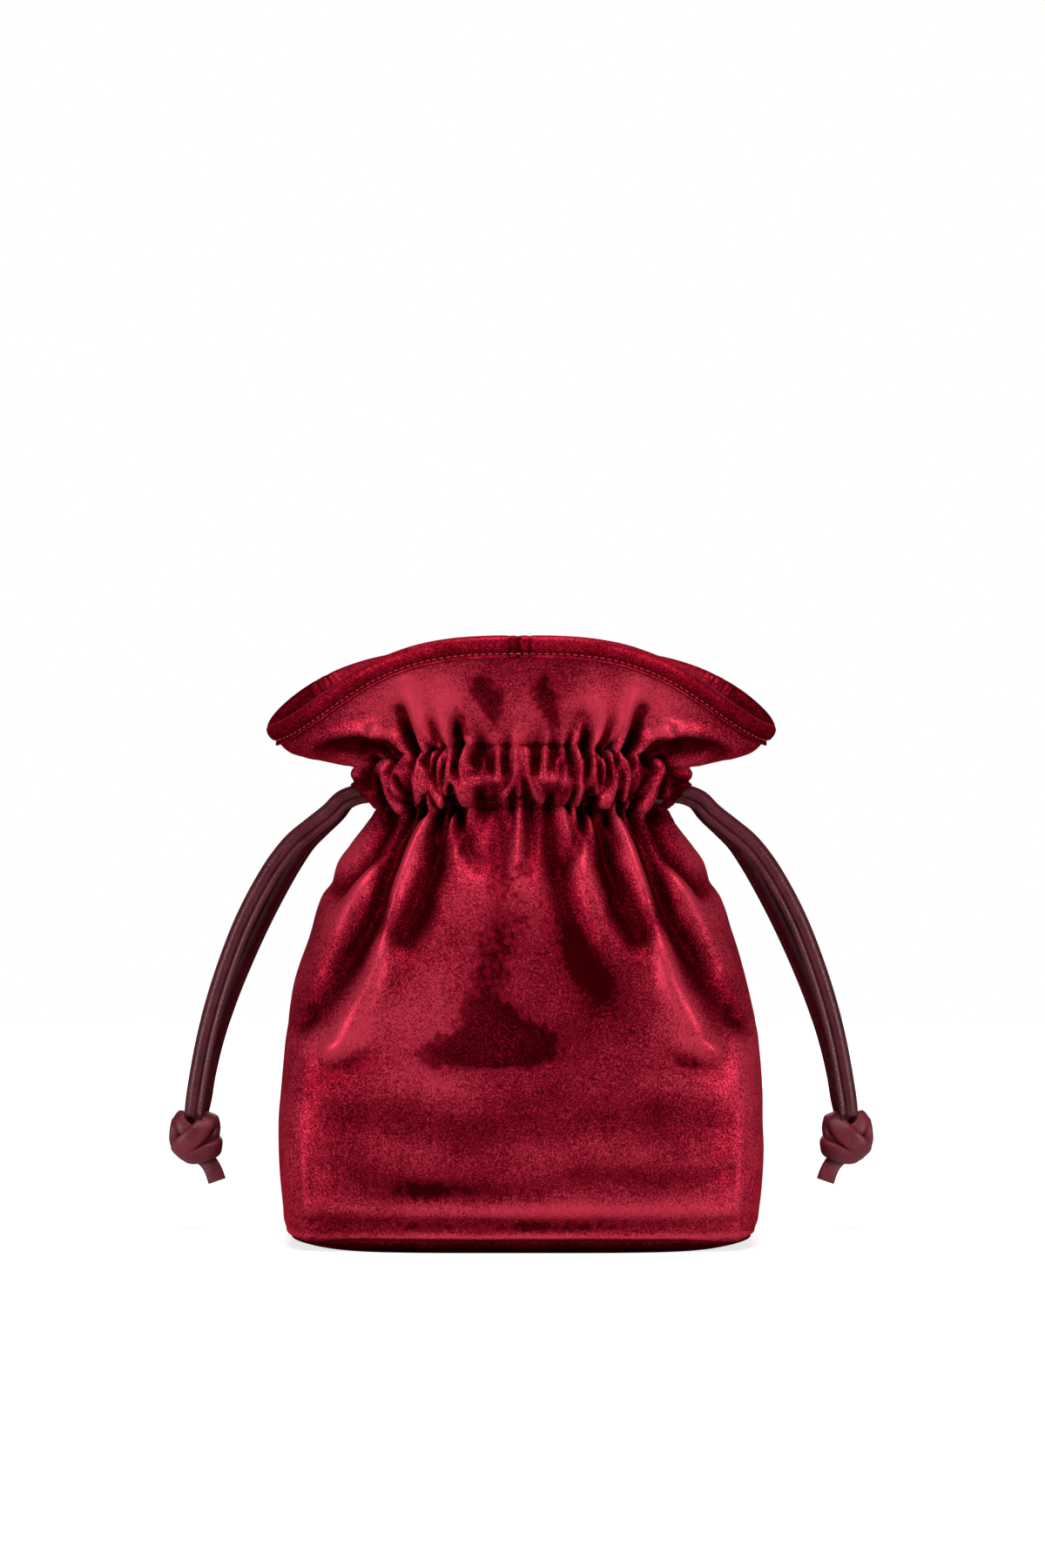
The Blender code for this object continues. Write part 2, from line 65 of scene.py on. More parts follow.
camera_data = bpy.data.cameras.new("camera")
camera_data.sensor_width = SENSOR
camera_data.lens = FOCAL_PIXELS * SENSOR / max(PHOTO_WIDTH, PHOTO_HEIGHT)
camera = bpy.data.objects.new("camera", camera_data)
camera.location = CAMERA_PLACE
camera.rotation_euler = (math.radians(90), 0, 0)
bpy.context.scene.collection.objects.link(camera)
bpy.context.scene.camera = camera
print("lens", round(camera_data.lens, 2), "mm")

# %% [markdown]
# Light and floor
#
# Velvet needs light from the sides: its folds only show when one flank is lit and the other isn't. Two tall
# soft boxes stand left and right in front, a wide one hangs above, and a weaker one behind lights the back.
# The white surroundings fill a little. The floor and the backdrop are one bent sheet. For the camera they
# glow a little, which makes them white, and they still take the shadow under the pouch.

# %% Lights
scene = bpy.context.scene
scene.view_settings.view_transform = "Standard"


def add_soft_box(name, place, aim, size, watts):
    data = bpy.data.lights.new(name, "AREA")
    data.shape = "RECTANGLE"
    data.size, data.size_y = size
    data.energy = watts
    box = bpy.data.objects.new(name, data)
    box.location = place
    box.rotation_euler = (Vector(aim) - Vector(place)).to_track_quat("-Z", "Y").to_euler()
    scene.collection.objects.link(box)
    return box


MIDDLE = (0, 0, 0.13)
add_soft_box("soft_box_left", (-1.00, -0.90, 0.20), MIDDLE, (0.30, 0.5), 8)
add_soft_box("soft_box_right", (1.00, -0.90, 0.20), MIDDLE, (0.30, 0.5), 8)
add_soft_box("soft_box_above", (0, -0.65, 1.10), MIDDLE, (0.6, 0.4), 8)
add_soft_box("soft_box_behind", (0, 1.30, 0.80), MIDDLE, (0.8, 0.4), 4)

# %% White surroundings
AMBIENT = 0.10


def new_material(name):
    material = bpy.data.materials.new(name)
    material.use_nodes = True
    return material, material.node_tree.nodes, material.node_tree.links


world = bpy.data.worlds.new("white_room")
scene.world = world
world.use_nodes = True
nodes, links = world.node_tree.nodes, world.node_tree.links
background = nodes["Background"]
background.inputs["Color"].default_value = (1, 1, 1, 1)
path = nodes.new("ShaderNodeLightPath")
strength = nodes.new("ShaderNodeMapRange")
strength.inputs["To Min"].default_value = AMBIENT
strength.inputs["To Max"].default_value = 1.0
links.new(path.outputs["Is Camera Ray"], strength.inputs["Value"])
links.new(strength.outputs["Result"], background.inputs["Strength"])
print("the surroundings light the pouch with a strength of", AMBIENT)

# %% The floor and the backdrop, one sheet with a bend
FLOOR_REACH = 3.0
BEND_START, BEND_RADIUS, BEND_STEPS = 1.2, 1.0, 16
BACKDROP_HEIGHT = 3.0
# Distances in metres from the pouch, and the floor's own glow there
FLOOR_GLOWS = (0.25, 0.70, 0.72, 1.0)

shape = bmesh.new()
bmesh.ops.create_grid(shape, x_segments=1, y_segments=1, size=FLOOR_REACH)
for vert in shape.verts:
    vert.co.y = -FLOOR_REACH if vert.co.y < 0 else BEND_START
back_edge = [edge for edge in shape.edges if all(v.co.y == BEND_START for v in edge.verts)]
bmesh.ops.spin(
    shape, geom=back_edge, cent=(0, BEND_START, BEND_RADIUS), axis=(1, 0, 0), angle=math.radians(90),
    steps=BEND_STEPS,
)
top_edge = [edge for edge in shape.edges if all(v.co.z > 0.999 * BEND_RADIUS for v in edge.verts)]
raised = bmesh.ops.extrude_edge_only(shape, edges=top_edge)["geom"]
bmesh.ops.translate(
    shape, verts=[v for v in raised if isinstance(v, bmesh.types.BMVert)], vec=(0, 0, BACKDROP_HEIGHT)
)
bmesh.ops.recalc_face_normals(shape, faces=shape.faces)
floor_mesh = bpy.data.meshes.new("floor")
shape.to_mesh(floor_mesh)
shape.free()
floor_mesh.shade_smooth()
floor = bpy.data.objects.new("floor", floor_mesh)
scene.collection.objects.link(floor)

floor_paint, nodes, links = new_material("white_floor")
shader = nodes["Principled BSDF"]
shader.inputs["Base Color"].default_value = (0.8, 0.8, 0.8, 1)
shader.inputs["Roughness"].default_value = 0.9
shader.inputs["Emission Color"].default_value = (1, 1, 1, 1)
# The glow grows away from the pouch, so that no line shows where the floor bends up
away = nodes.new("ShaderNodeVectorMath")
away.operation = "LENGTH"
links.new(nodes.new("ShaderNodeTexCoord").outputs["Object"], away.inputs[0])
reach = nodes.new("ShaderNodeMapRange")
for name, value in zip(("From Min", "From Max", "To Min", "To Max"), FLOOR_GLOWS):
    reach.inputs[name].default_value = value
links.new(away.outputs["Value"], reach.inputs["Value"])
path = nodes.new("ShaderNodeLightPath")
glow = nodes.new("ShaderNodeMath")
glow.operation = "MULTIPLY"
links.new(reach.outputs["Result"], glow.inputs[1])
links.new(path.outputs["Is Camera Ray"], glow.inputs[0])
links.new(glow.outputs["Value"], shader.inputs["Emission Strength"])
floor_mesh.materials.append(floor_paint)
print("floor faces", len(floor_mesh.polygons))

# %% [markdown]
# The cloth's plan
#
# From above, every level of the pouch is a closed outline: nearly a rounded rectangle at the base, an
# ellipse at the casing, and a pointed oval at the mouth. A superellipse covers all three with one number for
# how square it is. Each level also has a height in the middle and one at the side seams, where the casing
# and the ruffle dip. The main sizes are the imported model's. Only the base's seam lies 1 mm lower and its ends
# are drawn in a little, because a sewn corner is rounder than the plain solid.

# %% Sizes of the pouch
CLOTH = 1.2 * MM
BASE_SEAM_Z, NECK_Z = 6.2 * MM, 183.5 * MM
BASE_WIDE, BASE_DEEP, BASE_SQUARE = 96.1 * MM, 47.7 * MM, 6.2
BELLY_WIDE, BELLY_DEEP = 101.6 * MM, 56.0 * MM
NECK_WIDE, NECK_DEEP = 63.5 * MM, 33.0 * MM
CASING_SIDE, CASING_MIDDLE, SIDE_DIP = 19.5 * MM, 24.2 * MM, 4.0 * MM
CASING_PUFF = 7.5 * MM
CASING_TOP_WIDE, CASING_TOP_DEEP = 68.0 * MM, 33.5 * MM
RUFFLE_MIDDLE, RUFFLE_SIDE = 43.8 * MM, 17.0 * MM
MOUTH_WIDE, MOUTH_DEEP, MOUTH_SQUARE, MOUTH_POINTED = 107.3 * MM, 54.5 * MM, 2.2, 0.85
print("belly", round(2 * BELLY_WIDE, 4), "m wide and mouth", round(2 * MOUTH_WIDE, 4), "m wide")

# %% Levels of the body: share of its height, of the belly's width and depth, and how square
BODY_LEVELS = np.array([
    (0.000, 0.855, 0.640, 6.2),
    (0.025, 0.915, 0.700, 6.8),
    (0.060, 0.938, 0.780, 6.6),
    (0.231, 1.000, 0.910, 5.5),
    (0.413, 0.958, 1.000, 4.6),
    (0.572, 0.853, 0.960, 3.9),
    (0.708, 0.656, 0.760, 3.2),
    (0.821, 0.433, 0.540, 2.8),
    (0.906, 0.218, 0.300, 2.4),
    (0.963, 0.052, 0.110, 2.2),
    (1.000, 0.000, 0.000, 2.0),
])
# Levels of the casing: share of its height, share of its puff
CASING_LEVELS = np.array([
    (0.0, 0.0), (0.10, 0.50), (0.24, 0.86), (0.50, 1.0), (0.76, 0.92), (0.91, 0.56), (1.0, 0.0),
])
# Levels of the ruffle: shares of its height in the middle and at the sides, of its flare sideways and
# forwards, and of its point
RUFFLE_LEVELS = np.array([
    (0.00, 0.00, 0.00, 0.00, 0.00),
    (0.17, 0.13, 0.23, 0.17, 0.30),
    (0.44, 0.26, 0.57, 0.45, 0.65),
    (0.78, 0.50, 0.83, 0.76, 0.95),
    (1.00, 1.00, 1.00, 1.00, 1.00),
])


def smooth_between(places, values, where):
    """A smooth curve through the values, read at where."""
    slopes = np.gradient(values, places)
    spot = np.clip(np.searchsorted(places, where, side="right") - 1, 0, len(places) - 2)
    width = places[spot + 1] - places[spot]
    t = (where - places[spot]) / width
    start, end = values[spot], values[spot + 1]
    rise = slopes[spot] * width, slopes[spot + 1] * width
    return (
        start * (1 + 2 * t) * (1 - t) ** 2
        + end * t**2 * (3 - 2 * t)
        + rise[0] * t * (1 - t) ** 2
        - rise[1] * t**2 * (1 - t)
    )


print("half way up, the belly's share is", round(float(smooth_between(*BODY_LEVELS[:, :2].T, 0.5)), 3))

# %% One level of the cloth
def level_of_body(height):
    wide, deep, square = (smooth_between(BODY_LEVELS[:, 0], BODY_LEVELS[:, i], height) for i in (1, 2, 3))
    z = BASE_SEAM_Z + (NECK_Z - BASE_SEAM_Z) * height
    half_wide = NECK_WIDE + (BELLY_WIDE - NECK_WIDE) * wide
    half_deep = NECK_DEEP + (BELLY_DEEP - NECK_DEEP) * deep
    return half_wide, half_deep, square, 0.0, z, z - SIDE_DIP * height**8


def level_of_casing(height, puffed=1.0):
    puff = puffed * CASING_PUFF * smooth_between(CASING_LEVELS[:, 0], CASING_LEVELS[:, 1], height)
    half_wide = NECK_WIDE + (CASING_TOP_WIDE - NECK_WIDE) * height + puff
    half_deep = NECK_DEEP + (CASING_TOP_DEEP - NECK_DEEP) * height + puff
    low_side = NECK_Z - SIDE_DIP
    return half_wide, half_deep, 2.0, 0.0, NECK_Z + CASING_MIDDLE * height, low_side + CASING_SIDE * height


def level_of_ruffle(height):
    side, wide, deep, pointed = (
        smooth_between(RUFFLE_LEVELS[:, 0], RUFFLE_LEVELS[:, i], height) for i in (1, 2, 3, 4)
    )
    foot = level_of_casing(1.0)
    half_wide = foot[0] + (MOUTH_WIDE - foot[0]) * wide
    half_deep = foot[1] + (MOUTH_DEEP - foot[1]) * deep
    square = 2.0 + (MOUTH_SQUARE - 2.0) * height
    z_middle, z_side = foot[4] + RUFFLE_MIDDLE * height, foot[5] + RUFFLE_SIDE * side
    return half_wide, half_deep, square, MOUTH_POINTED * pointed, z_middle, z_side


print("mouth at", [round(float(value), 4) for value in level_of_ruffle(1.0)])

# %% From a level to points in space
OUTLINE_POINTS = 2001


def half_outline(half_wide, half_deep, square, pointed, shares):
    """Front half of an outline, left to right, at these shares of its length."""
    turn = np.linspace(0.0, math.pi, OUTLINE_POINTS)
    wave = np.sin(turn) ** 2
    x = -half_wide * np.sign(np.cos(turn)) * np.abs(np.cos(turn)) ** (2 / square)
    y = -half_deep * (wave * (1 - pointed + pointed * wave)) ** (1 / square)
    spans = np.hypot(np.diff(x), np.diff(y))
    run = np.concatenate([[0.0], np.cumsum(spans)]) / np.sum(spans)
    return np.interp(shares, run, x), np.interp(shares, run, y)


def droop(shares, front):
    """0 in the middle of a panel and 1 at its seams: how far the cloth dips towards the sides."""
    across = np.abs(2 * shares - 1)
    return (1 - np.cos(math.pi * across**1.5)) / 2 if front else across**3


def points_on_level(level, shares, front=True):
    half_wide, half_deep, square, pointed, z_middle, z_side = level
    x, y = half_outline(half_wide, half_deep, square, pointed, shares)
    z = z_middle + (z_side - z_middle) * droop(shares, front)
    return np.column_stack([x, y if front else -y, z])


print("neck corner", points_on_level(level_of_casing(0.0), np.array([0.0, 0.5])).round(4).tolist())

# %% [markdown]
# Cloth from a flat grid
#
# A real panel is cut flat, so each one starts as a flat grid. Every point of the grid is then moved to where
# it lies on the pouch, first on the smooth form of the levels. Rows are close together in the casing, where
# most happens, and at the hem. Columns crowd at the side seams, because the cords push the gathers together
# there.

# %% Helpers that shape a grid
WELD = 0.00001


def shaped_grid(places, weld=False, capped=False):
    """A flat grid whose points are moved to places[row, column]. Rolled ones are welded and capped."""
    rows, columns = places.shape[:2]
    shape = bmesh.new()
    bmesh.ops.create_grid(shape, x_segments=columns - 1, y_segments=rows - 1, size=1.0)
    for vert in shape.verts:
        column = round((vert.co.x + 1) / 2 * (columns - 1))
        row = round((vert.co.y + 1) / 2 * (rows - 1))
        vert.co = places[row, column]
    if weld:
        bmesh.ops.remove_doubles(shape, verts=shape.verts, dist=WELD)
    if capped:
        bmesh.ops.holes_fill(shape, edges=[edge for edge in shape.edges if edge.is_boundary], sides=0)
    if weld:
        bmesh.ops.recalc_face_normals(shape, faces=shape.faces)
    return shape


def finished_piece(name, shape, material, replaced=()):
    """Turns a bmesh into a piece that rides on the pouch."""
    mesh = bpy.data.meshes.new(name)
    shape.to_mesh(mesh)
    shape.free()
    mesh.shade_smooth()
    mesh.materials.append(material)
    piece = bpy.data.objects.new(name, mesh)
    scene.collection.objects.link(piece)
    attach(piece, BODY)
    if replaced:
        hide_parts(*replaced)
    return piece


def unit(vectors):
    return vectors / np.maximum(np.linalg.norm(vectors, axis=-1, keepdims=True), 1e-12)


print("points closer than", WELD, "m are welded")

# %% Rows and columns of a panel
COLUMNS = 252
BODY_ROWS, CASING_ROWS, RUFFLE_ROWS = 92, 44, 42
# The lowest rows, and the share of the body's height that they cover: they are closer, for the hem's roll
HEM_ROWS, HEM_SHARE = 14, 0.075
SPREAD = 0.22

steps = np.linspace(0.0, 1.0, COLUMNS + 1)
shares = steps - SPREAD * np.sin(2 * math.pi * steps) / (2 * math.pi)
hem_heights = np.linspace(0, HEM_SHARE, HEM_ROWS + 1)[:-1]
rest_heights = 1 - (1 - np.linspace(0, 1, BODY_ROWS - HEM_ROWS + 1)) ** 1.25
body_heights = np.concatenate([hem_heights, HEM_SHARE + (1 - HEM_SHARE) * rest_heights])
casing_heights = np.linspace(0, 1, CASING_ROWS + 1)[1:]
ruffle_heights = np.linspace(0, 1, RUFFLE_ROWS + 1)[1:] ** 1.15
levels = (
    [level_of_body(height) for height in body_heights]
    + [level_of_casing(height) for height in casing_heights]
    + [level_of_ruffle(height) for height in ruffle_heights]
)
# Up the panel: 0 at the base seam, 1 and 2 at the casing's stitch lines, 3 at the rim
up = np.concatenate([body_heights, 1 + casing_heights, 2 + ruffle_heights])
SIDE_TUCK, TUCK_REACH = 3.2 * MM, 15 * MM
CORNER_X, CORNER_REACH, CORNER_DROP, SIDE_RISE = 88 * MM, 13 * MM, 2.6 * MM, 1.4 * MM


def corners_down(points, share):
    """The base seam sags at its four corners and rises between them at the sides."""
    corner = np.exp(-(((np.abs(points[..., 0]) - CORNER_X) / CORNER_REACH) ** 2))
    at_corner = corner * np.clip(np.abs(points[..., 1]) / BASE_DEEP, 0, 1) ** 2
    at_side = corner * np.clip(1 - np.abs(points[..., 1]) / (0.6 * BASE_DEEP), 0, 1)
    moved = points.copy()
    moved[..., 2] += share * (SIDE_RISE * at_side - CORNER_DROP * at_corner)
    return moved


def tucked_up(points):
    """The cords pull the two side ends of the casing's lower line up a little."""
    neck = points[BODY_ROWS]
    to_side = np.minimum(
        np.linalg.norm(neck - neck[0], axis=1), np.linalg.norm(neck - neck[-1], axis=1)
    )
    at_line = np.interp(up, (0.90, 0.97, 1.0, 1.45), (0.0, 0.8, 1.0, 0.0))
    shift = SIDE_TUCK * at_line[:, None] * np.exp(-((to_side / TUCK_REACH) ** 2))[None, :]
    return points + shift[:, :, None] * np.array([0.0, 0.0, 1.0])


near_base = np.exp(-((up / 0.05) ** 2))[:, None]
smooth_front = tucked_up(np.array([points_on_level(level, shares, True) for level in levels]))
smooth_back = tucked_up(np.array([points_on_level(level, shares, False) for level in levels]))
smooth_front, smooth_back = corners_down(smooth_front, near_base), corners_down(smooth_back, near_base)
print("panel grid", smooth_front.shape)

# %% [markdown]
# Gathers
#
# Where the cords pull, the cloth stands in uneven ridges with pinched valleys between them. So the gathers
# are listed one by one: each ridge has its place across the front and its height, and each valley its depth.
# Between them the cloth runs in a smooth wave. The wave is strongest at the two stitch lines and fades into
# the body and the ruffle, and the ridges lean a little as they rise.

# %% Ridges and valleys, from the left seam to the right one
# Place across the front as a share of the half width, and height in millimetres
RIDGES = (
    (-0.955, 2.6), (-0.765, 2.1), (-0.672, 2.0), (-0.580, 2.4), (-0.492, 1.7), (-0.420, 2.6),
    (-0.334, 1.9), (-0.136, 1.3), (-0.008, 2.0), (0.136, 1.2), (0.246, 1.6), (0.338, 1.8),
    (0.424, 2.5), (0.496, 1.8), (0.584, 2.4), (0.676, 2.0), (0.765, 2.2), (0.955, 2.6),
)
# Depth in millimetres of the valley before each ridge, and at the right seam
VALLEYS = (1.5, 3.4, 2.6, 3.4, 3.9, 3.2, 3.9, 2.2, 1.7, 1.7, 2.2, 2.8, 3.9, 3.1, 3.9, 2.7, 3.4, 3.2, 1.5)
# How far down and up each ridge keeps its height, in millimetres
REACH_DOWN = (6, 8, 5, 9, 12, 6, 12, 7, 9, 7, 6, 11, 7, 12, 8, 6, 8, 6)
REACH_UP = (4, 5, 8, 5, 9, 6, 12, 5, 7, 5, 6, 11, 6, 9, 5, 8, 5, 4)


def keyed_wave(phase, heights, depths):
    """A wave with these heights at 0.5, 1.5, 2.5 and so on, and these depths at 0, 1, 2 and so on."""
    keys = np.empty(len(heights) + len(depths))
    keys[1::2], keys[0::2] = heights, -np.asarray(depths)
    spot = np.clip(np.floor(phase * 2).astype(int), 0, len(keys) - 2)
    ease = np.clip(phase * 2 - spot, 0, 1)
    ease = (1 - np.cos(math.pi * ease)) / 2
    return keys[spot] * (1 - ease) + keys[spot + 1] * ease


def across_front(points):
    return points[:, :, 0] / np.abs(points[:, :, 0]).max(axis=1)[:, None]


print(len(RIDGES), "gathers on a panel")

# %% The gathers' push at every point of a panel
# How far the ridges lean, in parts of a gather: reach, waves across, waves up, start
LEANS = ((0.20, 1.9, 2.6, 0.0), (0.13, 4.3, -5.1, 1.0))
# How much the gathers flatten half way up the casing, where the cords fill it
CASING_FLATTENS = 0.62


def gathers_on(points, ridges, valleys, reach_down, reach_up):
    row_of_stitch = BODY_ROWS
    across = across_front(points)[row_of_stitch]
    ends = np.concatenate([[-1.0], [ridge[0] for ridge in ridges], [1.0]])
    numbers = np.concatenate([[0.0], np.arange(len(ridges)) + 0.5, [float(len(ridges))]])
    phase = np.interp(across, ends, numbers)[None, :].repeat(len(up), axis=0)
    # Ridges lean and bend, most of all half way up the casing
    height = up[:, None]
    lean = sum(reach * np.sin(wide * phase + tall * height + start) for reach, wide, tall, start in LEANS)
    hold = np.clip(np.minimum(phase, len(ridges) - phase), 0, 1)
    phase = np.clip(phase + lean * hold * np.clip(1.2 - np.abs(height - 1.5), 0, 1), 0, len(ridges))
    wave = keyed_wave(phase, [ridge[1] for ridge in ridges], valleys) * MM
    middles = np.arange(len(ridges)) + 0.5
    down = np.interp(phase, middles, reach_down) * MM
    rise = np.interp(phase, middles, reach_up) * MM
    below = np.clip(points[row_of_stitch, :, 2][None, :] - points[:, :, 2], 0, None)
    above = np.where(height > 2, 1, 0) * np.linalg.norm(points - points[BODY_ROWS + CASING_ROWS], axis=2)
    inside = 1 - CASING_FLATTENS * np.sin(math.pi * np.clip(height - 1, 0, 1)) ** 1.5
    return wave * inside * np.exp(-((below / down) ** 1.3)) * np.exp(-((above / rise) ** 1.3))


front_gathers = gathers_on(smooth_front, RIDGES, VALLEYS, REACH_DOWN, REACH_UP)
back_ridges = tuple((-place, height) for place, height in reversed(RIDGES))
back_gathers = gathers_on(smooth_back, back_ridges, VALLEYS[::-1], REACH_DOWN[::-1], REACH_UP[::-1])
print("gathers from", round(front_gathers.min() / MM, 1), "to", round(front_gathers.max() / MM, 1), "mm")

# %% [markdown]
# Long folds
#
# From the casing the cloth falls in long folds that widen and die out, and above it they fan out into the
# ruffle. Each is drawn as a stroke on the front, as one would sculpt it: a path of two to six places, the
# width of the stroke at both ends, and how far it lifts the cloth (or, below zero, presses it in) at its
# start, middle and end. The photographed front is close to symmetrical, so most strokes are mirrored.

# %% Strokes, in millimetres: places across and up, widths, lifts
BOTH_SIDES = (
    (((-46, 183), (-52, 168), (-60, 144), (-72, 121), (-86, 98)), (4.0, 8.0), (-4.5, -5.0, -1.6)),
    (((-55, 178), (-63, 163), (-76, 149)), (3.0, 4.5), (-3.0, -3.4, -3.4)),
    (((-33, 182), (-35.5, 160), (-43, 141), (-49, 134)), (3.2, 7.5), (-4.5, -4.8, -4.0)),
    (((-25.9, 184), (-22.5, 166), (-17, 159)), (2.2, 3.4), (-3.0, -2.4, -0.9)),
    (((-38, 183), (-50, 152), (-56.5, 129), (-61, 111), (-75, 84)), (3.4, 6.0), (2.6, 2.6, 1.8)),
    (((-29.5, 183), (-30.5, 164), (-35.5, 150)), (2.8, 5.0), (1.6, 1.4, 0.8)),
    (((-50.5, 181), (-57, 163), (-67, 146), (-80, 118)), (3.4, 6.0), (1.4, 2.4, 1.2)),
    (((-62, 172), (-74, 157), (-84, 140)), (4.0, 7.0), (1.0, 1.6, 0.6)),
    (((-89, 98), (-93, 92)), (3.5, 3.5), (-2.2, -2.2, -1.4)),
    (((-80, 75), (-72, 79), (-60, 82)), (4.0, 4.0), (-0.5, -1.5, -0.4)),
    (((-88.5, 6), (-88.5, 32), (-90.5, 60)), (1.8, 2.8), (0.4, 0.4, 0.1)),
    (((-78, 84), (-66, 87), (-58, 95)), (3.5, 5.0), (1.0, 1.0, 0.6)),
    (((-43, 199), (-46.5, 203), (-50, 208.6), (-55, 213), (-61, 214.4)), (2.0, 2.8), (2.2, 2.4, 2.2)),
    (((-61, 214.4), (-71, 213.8), (-79, 212), (-87, 209.5)), (2.8, 3.2), (1.6, 1.2, 0.5)),
    (
        ((-46, 198.4), (-51.5, 202), (-58, 206.6), (-68, 208.8), (-78, 208), (-85, 206.4)),
        (2.2, 2.8), (-3.0, -3.8, -1.2),
    ),
    (((-41.4, 201), (-44.2, 207.5), (-47, 214.2), (-50, 222)), (1.6, 3.0), (-3.0, -3.4, -2.6)),
    (((-36.5, 202), (-39.2, 207.5), (-42.6, 216.4), (-46.5, 233)), (2.1, 5.0), (2.6, 2.6, 0.7)),
    (((-34.2, 203), (-35.2, 210), (-38, 219)), (1.1, 1.8), (-2.2, -1.7, -0.5)),
    (((-29.6, 205), (-31.6, 212), (-30.6, 232)), (2.0, 6.0), (1.8, 1.6, 0.5)),
    (((-27, 206), (-26.6, 212), (-26, 219)), (1.3, 2.8), (-1.6, -1.5, -1.7)),
    (((-18, 206.6), (-17.6, 214)), (1.6, 3.6), (-1.3, -0.4, -0.2)),
    (((-9, 207), (-8.4, 216)), (1.6, 4.0), (-1.1, -0.4, -0.1)),
    (((-58, 199.6), (-69, 202), (-80, 205), (-90, 207)), (2.2, 3.2), (1.2, 1.6, 0.6)),
)
LEFT_ONLY = (
    (((-9.5, 181), (-9, 160), (-6, 128)), (3.6, 7.0), (-1.8, -1.3, -0.6)),
    (((3.5, 180), (4, 168), (3.5, 158)), (2.6, 3.6), (-1.6, -1.4, -0.6)),
    (((-1, 182), (-2, 165), (-4, 140)), (2.4, 5.0), (1.2, 0.9, 0.3)),
)
RIGHT_ONLY = (
    (((10, 181), (14, 160), (20, 138), (33, 107)), (3.4, 9.0), (-2.0, -2.6, -1.8)),
    (((19, 181), (25, 158), (36, 128)), (3.4, 7.0), (1.4, 1.6, 0.8)),
)
# Low on the body the cloth lies in soft rolls across
ROLLS = (
    (((-80, 66), (-45, 70), (-10, 61)), (5.5, 7.0), (0.2, 0.6, 0.2)),
    (((-78, 56), (-50, 57), (-18, 50), (14, 51)), (4.5, 5.5), (-0.3, -0.5, -0.1)),
    (((-70, 46), (-38, 42), (-12, 34)), (5.0, 6.0), (0.3, 0.7, 0.1)),
    (((-20, 40), (30, 45), (80, 39)), (4.5, 6.0), (0.1, 0.6, 0.2)),
    (((-84, 37), (-64, 33), (-34, 26)), (4.0, 4.0), (-0.3, -0.9, -0.4)),
    (((-50, 28), (-10, 25), (24, 29)), (3.4, 4.5), (-0.5, -0.9, -0.4)),
    (((20, 64), (52, 71), (78, 66)), (5.5, 6.5), (0.3, 0.6, 0.2)),
    (((-86, 20), (-30, 18), (30, 19), (84, 18)), (3.6, 3.8), (0.7, 1.0, 0.7)),
    (((26, 55), (60, 58), (84, 52)), (4.0, 5.0), (-0.3, -0.5, -0.3)),
    (((18, 33), (52, 30), (86, 33)), (3.6, 4.4), (-0.4, -1.0, -0.6)),
    (((-90, 13.5), (0, 13.2), (90, 13.5)), (1.9, 1.9), (-0.5, -0.7, -0.5)),
)
print(len(BOTH_SIDES), "strokes are mirrored and", len(ROLLS), "are rolls low on the body")

